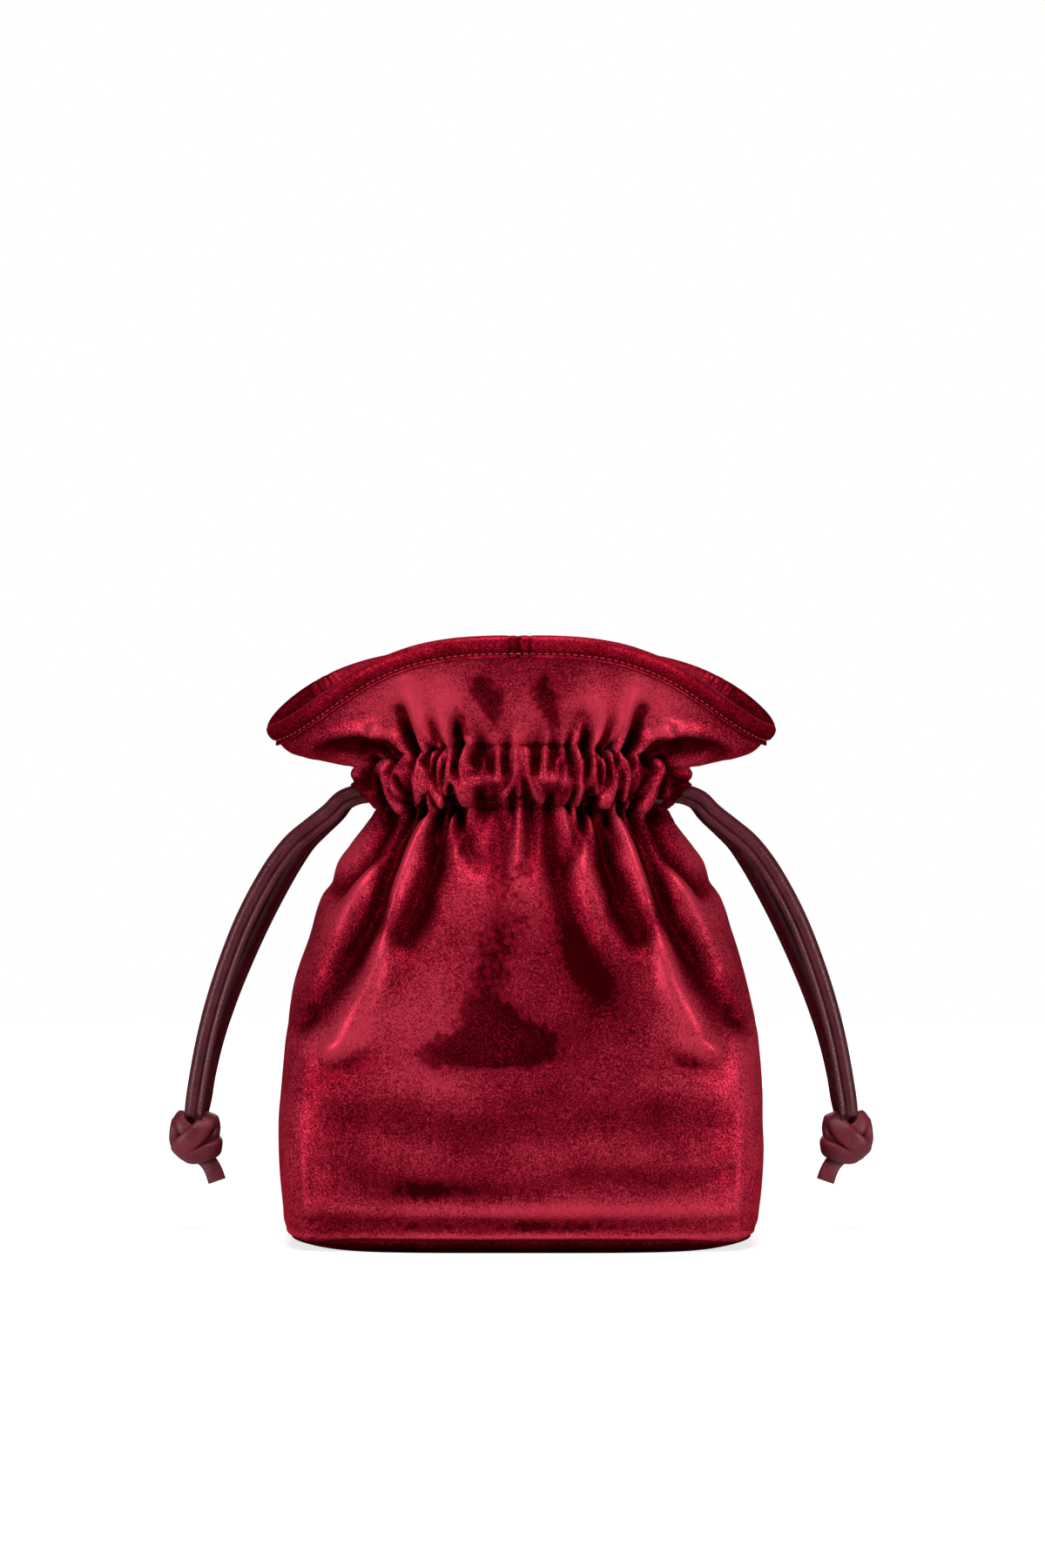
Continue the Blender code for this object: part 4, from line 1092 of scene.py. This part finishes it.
def make_thread(name, colour):
    material, nodes, links = new_material(name)
    shader = nodes["Principled BSDF"]
    place = nodes.new("ShaderNodeTexCoord").outputs["Object"]
    fibre = noise_at(nodes, links, place, 2600, 2.0)
    dark = tuple(0.55 * value for value in colour[:3]) + (1,)
    links.new(blend_colours(nodes, links, fibre, dark, colour), shader.inputs["Base Color"])
    shader.inputs["Roughness"].default_value = 0.5
    shader.inputs["Specular IOR Level"].default_value = 0.2
    give_bump(nodes, links, shader, fibre, 0.4, 0.0002)
    return material


crimson_thread = make_thread("crimson_thread", (0.66, 0.040, 0.085, 1))
dark_thread = make_thread("dark_thread", (0.16, 0.006, 0.014, 1))
print("one stitch has", len(stitch_mesh.polygons), "faces")

# %% Stitches round the mouth band and along the casing
BAND_STITCH_UP, BAND_STITCH_OUT = -6.3 * MM, 1.2 * MM
BAND_PITCH, BAND_STITCH, BAND_THREAD = 2.9 * MM, 2.3 * MM, 0.7 * MM
CASING_PITCH, CASING_STITCH, CASING_THREAD = 2.2 * MM, 1.7 * MM, 0.8 * MM

shape = bmesh.new()
seam = rim + BAND_STITCH_UP * lean + BAND_STITCH_OUT * out
seam, seam_out = np.vstack([seam, seam[:1]]), np.vstack([out, out[:1]])
band_count = add_stitches(shape, seam, seam_out, BAND_PITCH, BAND_STITCH, BAND_THREAD)
band_stitches = finished_piece("band_stitches", shape, crimson_thread)
print(band_count, "stitches round the band")

shape = bmesh.new()
casing_count = 0
for points in (front_points, back_points):
    normals = outward(points) * (1 if points is front_points else -1)
    for row in (BODY_ROWS, BODY_ROWS + CASING_ROWS):
        casing_count += add_stitches(
            shape, points[row], normals[row], CASING_PITCH, CASING_STITCH, CASING_THREAD
        )
casing_stitches = finished_piece("casing_stitches", shape, dark_thread)
print(casing_count, "stitches along the casing")

# %% [markdown]
# The base
#
# The base is velvet over a stiff board: a flat oblong tray, rounded under its edge, that the panels are sewn
# to. It starts as one outline that is drawn in row by row under the pouch, and then closes flat. Its ends are
# drawn in much further than its long sides, so that it shows as a shallow curve from the front.

# %% The base panel
BASE_COLUMNS = 120
BASE_DRAW, BASE_CURL, BASE_BOARD = 12.0 * MM, 1.4 * MM, 2.0 * MM
BASE_FLOOR_SQUARE, BASE_TURN_ROWS = 4.2, 12
BASE_TOP = BASE_SEAM_Z - 0.3 * MM
BASE_TURN_Z = BASE_TOP - 1 * MM
# How far the last row of the flat bottom is drawn in, at the ends and at the long sides
BASE_MIDDLE = (24 * MM, 16 * MM)
# Rows over the edge and down the inside: drawn in at the ends and at the long sides, and height
BASE_INSIDE = (
    (0.5 * MM, 0.5 * MM, BASE_TOP),
    (1.6 * MM, 1.6 * MM, BASE_TOP),
    (2.4 * MM, 2.4 * MM, BASE_TOP - 1.5 * MM),
    (BASE_DRAW + 1.5 * MM, 3.4 * MM, BASE_BOARD),
    (*BASE_MIDDLE, BASE_BOARD),
)
# Tone of the pile by height as a share of the base's: it turns away from the light as it goes under
BASE_SHADE = ((0.0, -0.30), (0.4, 0.10), (1.0, 0.90))

base_shares = np.linspace(0, 1, BASE_COLUMNS + 1)


def base_ring(wide_inset, deep_inset, z):
    square = BASE_FLOOR_SQUARE + (BASE_SQUARE - BASE_FLOOR_SQUARE) * min(1.0, z / BASE_TOP)
    level = (BASE_WIDE - wide_inset, BASE_DEEP - deep_inset, square, 0.0, z, z)
    front = points_on_level(level, base_shares, True)
    ring = np.concatenate([front, points_on_level(level, base_shares, False)[::-1][1:-1]])
    return corners_down(ring, z / BASE_TOP)


base_rings = [base_ring(*BASE_MIDDLE, 0.0)]
for rise in np.linspace(0, 1, BASE_TURN_ROWS):
    base_rings.append(
        base_ring(BASE_DRAW * (1 - rise**0.9), BASE_CURL * (1 - rise) ** 2, BASE_TURN_Z * rise**1.3)
    )
for wide_inset, deep_inset, z in BASE_INSIDE:
    base_rings.append(base_ring(wide_inset, deep_inset, z))
shape = shaped_grid(rolled(np.array(base_rings)), weld=True, capped=True)
base = finished_piece("base_velvet", shape, shaded_velvet, ["base_panel"])
base_heights = np.array([vert.co.z for vert in base.data.vertices]) / BASE_TOP
set_attribute(base, "nap_light_and_shade", np.interp(base_heights, *zip(*BASE_SHADE)))
print("base faces", len(base.data.polygons))

# %% [markdown]
# The facings
#
# Behind the casing a plain woven strip is sewn to each panel, so the cords slide between the strip and the
# velvet. It follows the velvet's gathers, but more loosely.

# %% The facing strips
FACING_IN, FACING_EDGE_IN = 10.6 * MM, 4.6 * MM
FACING_THICKNESS = 0.8 * MM
FACING_ROWS = 14
# From where to where it goes up the casing, and its share of the velvet's gathers
FACING_FROM, FACING_TO, FACING_GATHERS = 0.02, 0.98, 0.35
FACING_DARK, FACING_LIT = (0.05, 0.002, 0.005, 1), (0.13, 0.005, 0.012, 1)


def make_cloth_facing():
    material, nodes, links = new_material("woven_facing")
    shader = nodes["Principled BSDF"]
    place = nodes.new("ShaderNodeTexCoord").outputs["Object"]
    weave = nodes.new("ShaderNodeTexWave")
    weave.wave_type = "BANDS"
    weave.bands_direction = "Z"
    weave.inputs["Scale"].default_value = 600
    links.new(place, weave.inputs["Vector"])
    fuzz = noise_at(nodes, links, place, 900, 2.0)
    tone = sum_of(nodes, links, (weave.outputs["Fac"], 0.4), (fuzz, 0.6))
    links.new(blend_colours(nodes, links, tone, FACING_DARK, FACING_LIT), shader.inputs["Base Color"])
    shader.inputs["Roughness"].default_value = 0.8
    shader.inputs["Specular IOR Level"].default_value = 0.15
    give_bump(nodes, links, shader, tone, 0.4, 0.0003)
    return material


facing_cloth = make_cloth_facing()


def facing_strip(name, front, gathers, node):
    rows = []
    for height in np.linspace(FACING_FROM, FACING_TO, FACING_ROWS + 1):
        level = level_of_casing(height, puffed=0.0)
        puff = np.sin(math.pi * height) ** 0.5
        inset = FACING_EDGE_IN + (FACING_IN - FACING_EDGE_IN) * puff
        level = (level[0] - inset, level[1] - inset) + level[2:]
        rows.append(points_on_level(level, shares, front))
    places = np.array(rows)
    wave = gathers[BODY_ROWS] * FACING_GATHERS
    normals = outward(places) * (1 if front else -1)
    places = places + normals * wave[None, :, None]
    shape = shaped_grid(places)
    if not front:
        bmesh.ops.reverse_faces(shape, faces=shape.faces)
    strip = finished_piece(name, shape, facing_cloth, [node])
    wall = strip.modifiers.new("wall", "SOLIDIFY")
    wall.thickness = FACING_THICKNESS
    wall.offset = 0.0
    return strip


facing_front = facing_strip("facing_front", True, front_gathers, "casing_strip_front")
facing_back = facing_strip("facing_back", False, back_gathers, "casing_strip_back")
print("faces in a facing:", len(facing_front.data.polygons))

# %% [markdown]
# The drawstrings
#
# Each cord is a strip of leather rolled into a tube and sewn along its edge, so a thin stitched flange runs
# along it. It leaves the casing at a side seam as two strands, one from the front tunnel and one from the
# back, and both hang in a stiff curve to the knot. The route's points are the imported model's, apart from
# those near the casing: all strands leave it at one height, and sag a little just below it.

# %% The strands' route from the side seam to the knot
CORD = 6.5 * MM
CORD_PITCH = 7.2 * MM
CORD_INSET = 2.3 * MM
FREE_RUN_MERGE = 10.0 * MM
# Both strands of a hand leave the casing's tucked-up end at one height, and sag a little just below it
STRAND_EXIT_Z = 190.2 * MM
STRAND_SAG, STRAND_SAG_X, STRAND_SAG_REACH = 3.0 * MM, -82 * MM, 14 * MM
INTO_KNOT = (-139.6 * MM, 137.5 * MM, 3.2 * MM, 1.0 * MM)
# x, drop from the casing, distance from the middle plane, how much nearer the back strand hangs
FREE_RUN = np.array([
    (-0.0640, 0.0000, 0.0047, 0.0000),
    (-0.0700, 0.0001, 0.0041, 0.0000),
    (-0.0760, 0.0013, 0.0040, 0.0008),
    (-0.0815, 0.0057, 0.0038, 0.0020),
    (-0.0895, 0.0124, 0.0037, 0.0034),
    (-0.0969, 0.0198, 0.0037, 0.0048),
    (-0.1035, 0.0284, 0.0037, 0.0060),
    (-0.1112, 0.0410, 0.0037, 0.0066),
    (-0.1183, 0.0552, 0.0037, 0.0064),
    (-0.1243, 0.0704, 0.0037, 0.0054),
    (-0.1300, 0.0878, 0.0037, 0.0040),
    (-0.1343, 0.1044, 0.0037, 0.0028),
    (-0.1374, 0.1208, 0.0036, 0.0020),
    (-0.1391, 0.1322, 0.0035, 0.0018),
    INTO_KNOT,
])
# Shares of a panel's width, from the side seam, at which the run inside the casing has its points
RING_SHARES = np.array((0.14, 0.20, 0.28, 0.37, 0.46, 0.55, 0.64, 0.73, 0.81, 0.88, 0.94, 1.0))


def smooth_route(points, step):
    """Points a step apart on a smooth curve through the given ones."""
    points = np.array(points, float)
    run = np.concatenate([[0.0], np.cumsum(np.linalg.norm(np.diff(points, axis=0), axis=1))])
    fine = np.linspace(0, run[-1], 60 * len(points))
    curve = np.column_stack([smooth_between(run, points[:, axis], fine) for axis in range(3)])
    length = np.concatenate([[0.0], np.cumsum(np.linalg.norm(np.diff(curve, axis=0), axis=1))])
    places = np.linspace(0, length[-1], round(length[-1] / step) + 1)
    return np.column_stack([np.interp(places, length, curve[:, axis]) for axis in range(3)])


def ring_level(level):
    """The level of the casing where a cord lies: -1 is the lower cord and 1 the upper."""
    return level_of_casing(0.5 + level * CORD_PITCH / 2 / CASING_SIDE, puffed=0.0)


def strand_route(side):
    """A left-hand strand: side -1 is the front one and 1 the back one."""
    middle = level_of_casing(0.5, puffed=0.0)[5]
    x, drop, away, near = FREE_RUN.T
    merge = np.minimum(1.0, drop / FREE_RUN_MERGE)
    sag = STRAND_SAG * np.exp(-(((x - STRAND_SAG_X) / STRAND_SAG_REACH) ** 2))
    z = STRAND_EXIT_Z + (middle - STRAND_EXIT_Z) * merge - drop - sag
    return np.column_stack([x + (near if side > 0 else 0), side * away, z])


print("front strand", round(float(np.linalg.norm(np.diff(strand_route(-1), axis=0), axis=1).sum()), 3), "m")

# %% [markdown]
# Leather
#
# The cords are smooth leather with a dull shine, in deep wine red. A fine pebble goes into the bump, and
# noise makes the colour a little worn and cloudy. The knots have paler tones of their own.

# %% The leather shader
LEATHER_DARK = (0.040, 0.0030, 0.0075, 1)
LEATHER_LIT = (0.105, 0.0090, 0.0190, 1)
KNOT_DARK = (0.085, 0.0065, 0.0125, 1)
KNOT_LIT = (0.190, 0.0190, 0.0330, 1)


def make_leather(name, dark, lit, roughness, grain_scale):
    material, nodes, links = new_material(name)
    shader = nodes["Principled BSDF"]
    place = nodes.new("ShaderNodeTexCoord").outputs["Object"]
    pebble = nodes.new("ShaderNodeTexVoronoi")
    pebble.inputs["Scale"].default_value = grain_scale
    links.new(place, pebble.inputs["Vector"])
    cloud = noise_at(nodes, links, place, 120, 4.0)
    fine = noise_at(nodes, links, place, 1800, 2.0)
    tone = sum_of(nodes, links, (cloud, 0.7), (fine, 0.3))
    worn = remap(nodes, links, tone, 0.3, 0.7)
    links.new(blend_colours(nodes, links, worn, dark, lit), shader.inputs["Base Color"])
    dulled = remap(nodes, links, cloud, 0.3, 0.7, roughness - 0.06, roughness + 0.08)
    links.new(dulled, shader.inputs["Roughness"])
    shader.inputs["Specular IOR Level"].default_value = 0.30
    grain = sum_of(nodes, links, (pebble.outputs["Distance"], 0.8), (fine, 0.4))
    give_bump(nodes, links, shader, grain, 0.22, 0.0004)
    return material


cord_leather = make_leather("cord_leather", LEATHER_DARK, LEATHER_LIT, 0.36, 1100)
knot_leather = make_leather("knot_leather", KNOT_DARK, KNOT_LIT, 0.42, 900)
wine_thread = make_thread("wine_thread", (0.16, 0.020, 0.032, 1))
print("leathers:", cord_leather.name, knot_leather.name)

# %% The rolled section with its sewn flange
FLANGE_REACH, FLANGE_HALF = 5.5 * MM, 0.75 * MM
STRAND_STEP = 1.6 * MM
ROLL = 3.3 * MM
# Flange stitches: how far out along the flange, how far off its face, pitch, length and thread
FLANGE_SEAM_OUT, FLANGE_SEAM_OFF = 4.5 * MM, 0.05 * MM
FLANGE_PITCH, FLANGE_STITCH, FLANGE_THREAD = 2.2 * MM, 1.5 * MM, 0.45 * MM


def strand_section():
    """Section points: towards the pouch, and out of the flange's face. The flange lies towards the pouch."""
    turns = np.radians(np.linspace(22, 338, 21))
    roll = [(ROLL * math.cos(turn), ROLL * math.sin(turn)) for turn in turns]
    flange = [
        (2.9 * MM, -FLANGE_HALF), (3.6 * MM, -FLANGE_HALF), (5.1 * MM, -FLANGE_HALF),
        (FLANGE_REACH, -0.4 * MM), (FLANGE_REACH, 0.4 * MM),
        (5.1 * MM, FLANGE_HALF), (3.6 * MM, FLANGE_HALF), (2.9 * MM, FLANGE_HALF),
    ]
    return np.array(roll + flange)


def strand_frames(route, towards):
    """Along the strand, to its flange and out of the flange's face."""
    way = unit(np.gradient(route, axis=0))
    flange = unit(towards - way * (way @ towards)[:, None])
    return way, flange, np.cross(way, flange)


def make_strand(name, route, towards, node):
    way, flange, face = strand_frames(route, np.array(towards, float))
    section = strand_section()
    rings = route[:, None] + section[None, :, :1] * flange[:, None] + section[None, :, 1:] * face[:, None]
    shape = shaped_grid(rolled(rings), weld=True, capped=True)
    strand = finished_piece(name, shape, cord_leather, [node])
    length = float(np.linalg.norm(np.diff(route, axis=0), axis=1).sum())
    return length


def add_flange_stitches(shape, route, towards):
    way, flange, face = strand_frames(route, np.array(towards, float))
    for side in (-1, 1):
        line = route + FLANGE_SEAM_OUT * flange + side * (FLANGE_HALF + FLANGE_SEAM_OFF) * face
        add_stitches(shape, line, side * face, FLANGE_PITCH, FLANGE_STITCH, FLANGE_THREAD)


print("the rolled section has", len(strand_section()), "points")

# %% [markdown]
# The knots
#
# The two ends of a cord come together in one overhand knot. A rope would make round turns, but this is a
# rolled strip pulled tight: its turns are flattened where they cross. So the knot is swept along one path,
# with a width, a thickness and a facing of its own at every place, and ends in a flat cut tail.

# %% The knot's path, left-hand knot, in millimetres from its middle
KNOT_MIDDLE = (-138.9 * MM, 0.0, 42.4 * MM)
# Across, towards the back, up; width, thickness; how the flat side faces
KNOT_TURNS = (
    ((0.0, 1.8, 12.0), 7.0, 5.4, (0, 1, 0)),
    ((0.4, 2.4, 6.5), 7.8, 5.2, (0, 1, 0)),
    ((3.4, 3.6, 0.6), 8.2, 4.8, (0.2, 1, 0)),
    ((8.0, 2.8, -2.4), 7.8, 4.6, (0.8, 0.6, 0)),
    ((9.8, -0.8, -4.2), 7.8, 4.4, (1, -0.3, -0.3)),
    ((6.6, -3.4, -5.8), 8.0, 4.2, (0.4, -1, -0.4)),
    ((2.0, -3.8, -7.4), 7.8, 4.2, (0, -1, -0.5)),
    ((-3.0, -2.0, -8.0), 7.2, 4.4, (-0.4, -0.7, -0.9)),
    ((-6.2, 1.4, -5.8), 6.6, 4.8, (-0.9, 0.4, -0.7)),
    ((-8.0, 0.6, -1.2), 5.8, 5.2, (-1, 0.1, 0)),
    ((-7.9, 0.2, 2.6), 5.8, 5.2, (-1, 0, 0.1)),
    ((-6.9, 1.6, 7.0), 6.0, 4.8, (-1, 0.3, 0.4)),
    ((-5.9, -0.4, 8.4), 6.2, 4.4, (-0.7, -0.6, 0.8)),
    ((-4.6, -2.6, 5.4), 6.6, 4.2, (-0.2, -1, 0.3)),
    ((-1.6, -3.2, 2.0), 7.4, 4.4, (0, -1, 0)),
    ((3.4, -2.4, -2.0), 8.4, 4.6, (0.2, -1, 0)),
    ((8.0, 0.6, -1.0), 8.0, 4.8, (1, -0.1, 0)),
    ((8.0, 2.6, 3.4), 8.0, 4.6, (0.9, 0.6, 0.2)),
    ((6.6, 1.6, 8.2), 8.0, 4.2, (0.5, 0.4, 1)),
    ((5.8, -2.2, 7.2), 8.2, 4.0, (0.2, -0.9, 0.7)),
    ((3.4, -5.0, 3.6), 8.6, 3.8, (0, -1, 0.1)),
    ((-0.8, -5.9, -0.4), 8.8, 3.8, (0, -1, 0)),
    ((-5.0, -4.4, -4.4), 8.8, 3.8, (-0.2, -1, -0.2)),
    ((-6.2, -1.2, -6.4), 8.0, 4.0, (-0.7, -0.1, -0.8)),
    ((-3.0, 1.4, -7.2), 7.4, 4.2, (-0.1, 1, -0.5)),
    ((2.2, 1.8, -8.2), 7.2, 3.8, (0, 1, -0.2)),
    ((6.0, 0.8, -11.0), 7.4, 3.4, (0, 1, 0)),
    ((8.2, 0.0, -14.6), 7.6, 3.0, (0, 1, 0)),
    ((9.7, -0.2, -18.8), 7.7, 2.8, (0, 1, 0)),
)
KNOT_AROUND, KNOT_ALONG = 20, 200
FLATNESS = 3.0


def knot_rings(mirror):
    """Rings of a knot's sweep: each is a rounded, flattened section turned to face its own way."""
    turns = [(*place, wide, thick, *facing) for place, wide, thick, facing in KNOT_TURNS]
    table = np.array(turns, float)
    run = np.concatenate([[0.0], np.cumsum(np.linalg.norm(np.diff(table[:, :3], axis=0), axis=1))])
    fine = np.linspace(0, run[-1], KNOT_ALONG)
    route = np.column_stack([smooth_between(run, table[:, i], fine) for i in range(3)])
    wide, thick = (np.interp(fine, run, table[:, i]) for i in (3, 4))
    facing = unit(np.column_stack([smooth_between(run, table[:, i], fine) for i in (5, 6, 7)]))
    way = unit(np.gradient(route, axis=0))
    facing = unit(facing - way * np.sum(way * facing, axis=1)[:, None])
    side = np.cross(way, facing)
    angle = np.linspace(0, 2 * math.pi, KNOT_AROUND, endpoint=False)
    across = np.sign(np.cos(angle)) * np.abs(np.cos(angle)) ** (2 / FLATNESS)
    through = np.sign(np.sin(angle)) * np.abs(np.sin(angle)) ** (2 / FLATNESS)
    rings = (
        route[:, None]
        + (wide[:, None] / 2 * across[None])[:, :, None] * side[:, None]
        + (thick[:, None] / 2 * through[None])[:, :, None] * facing[:, None]
    )
    rings = rings * MM + np.array(KNOT_MIDDLE)
    return rings * np.array([mirror, 1, 1])


def make_knot(name, mirror, node):
    shape = shaped_grid(rolled(knot_rings(mirror)), weld=True, capped=True)
    return finished_piece(name, shape, knot_leather, [node])


print("knot path of", len(KNOT_TURNS), "places")

# %% Both cords: strands, knots, stitches and the run inside the casing
# Which way the front and the back strand's flanges point, at the left
FLANGE_LEFT = ((0.6, -0.35, -0.8), (0.6, 0.35, -0.8))
CASING_RUN_STEP, CASING_RUN_SIDES = 3 * MM, 14
# The flange's stitches start this many steps after the casing and end this many before the knot
STITCH_FROM, STITCH_SHORT = 6, 2


def casing_run(name, level, mirror, node):
    inside = ring_level(level)
    inside = (inside[0] - CORD_INSET, inside[1] - CORD_INSET) + inside[2:]
    front, back = points_on_level(inside, RING_SHARES, True), points_on_level(inside, RING_SHARES, False)
    starts = [strand_route(side)[0] for side in (-1, 1)]
    route = np.vstack([starts[0], front, back[::-1][1:], starts[1]]) * np.array([mirror, 1, 1])
    route = smooth_route(route, CASING_RUN_STEP)
    way = unit(np.gradient(route, axis=0))
    side = unit(np.cross(way, (0, 0, 1)))
    turns = np.linspace(0, 2 * math.pi, CASING_RUN_SIDES, endpoint=False)
    rings = route[:, None] + CORD / 2 * (
        np.cos(turns)[None, :, None] * side[:, None]
        + np.sin(turns)[None, :, None] * np.cross(side, way)[:, None]
    )
    shape = shaped_grid(rolled(rings), weld=True, capped=True)
    return finished_piece(name, shape, cord_leather, [node])


for hand, mirror, level in (("left", 1, -1), ("right", -1, 1)):
    flip = np.array([mirror, 1, 1])
    knot = make_knot("tied_knot_" + hand, mirror, "knot_" + hand)
    casing_run("casing_run_" + hand, level, mirror, "cord_" + hand)
    stitches = bmesh.new()
    for strand, side, towards in (("front", -1, FLANGE_LEFT[0]), ("back", 1, FLANGE_LEFT[1])):
        route = smooth_route(strand_route(side), STRAND_STEP) * flip
        towards = np.array(towards) * flip
        length = make_strand(f"strand_{hand}_{strand}", route, towards, "cord_" + hand)
        add_flange_stitches(stitches, route[STITCH_FROM:-STITCH_SHORT], towards)
        print(hand, strand, "strand is", round(length, 4), "m")
    finished_piece("flange_stitches_" + hand, stitches, wine_thread)

# %% [markdown]
# The last lines

print("sheets:", velvet_front.name, velvet_back.name, facing_front.name, facing_back.name, band.name)
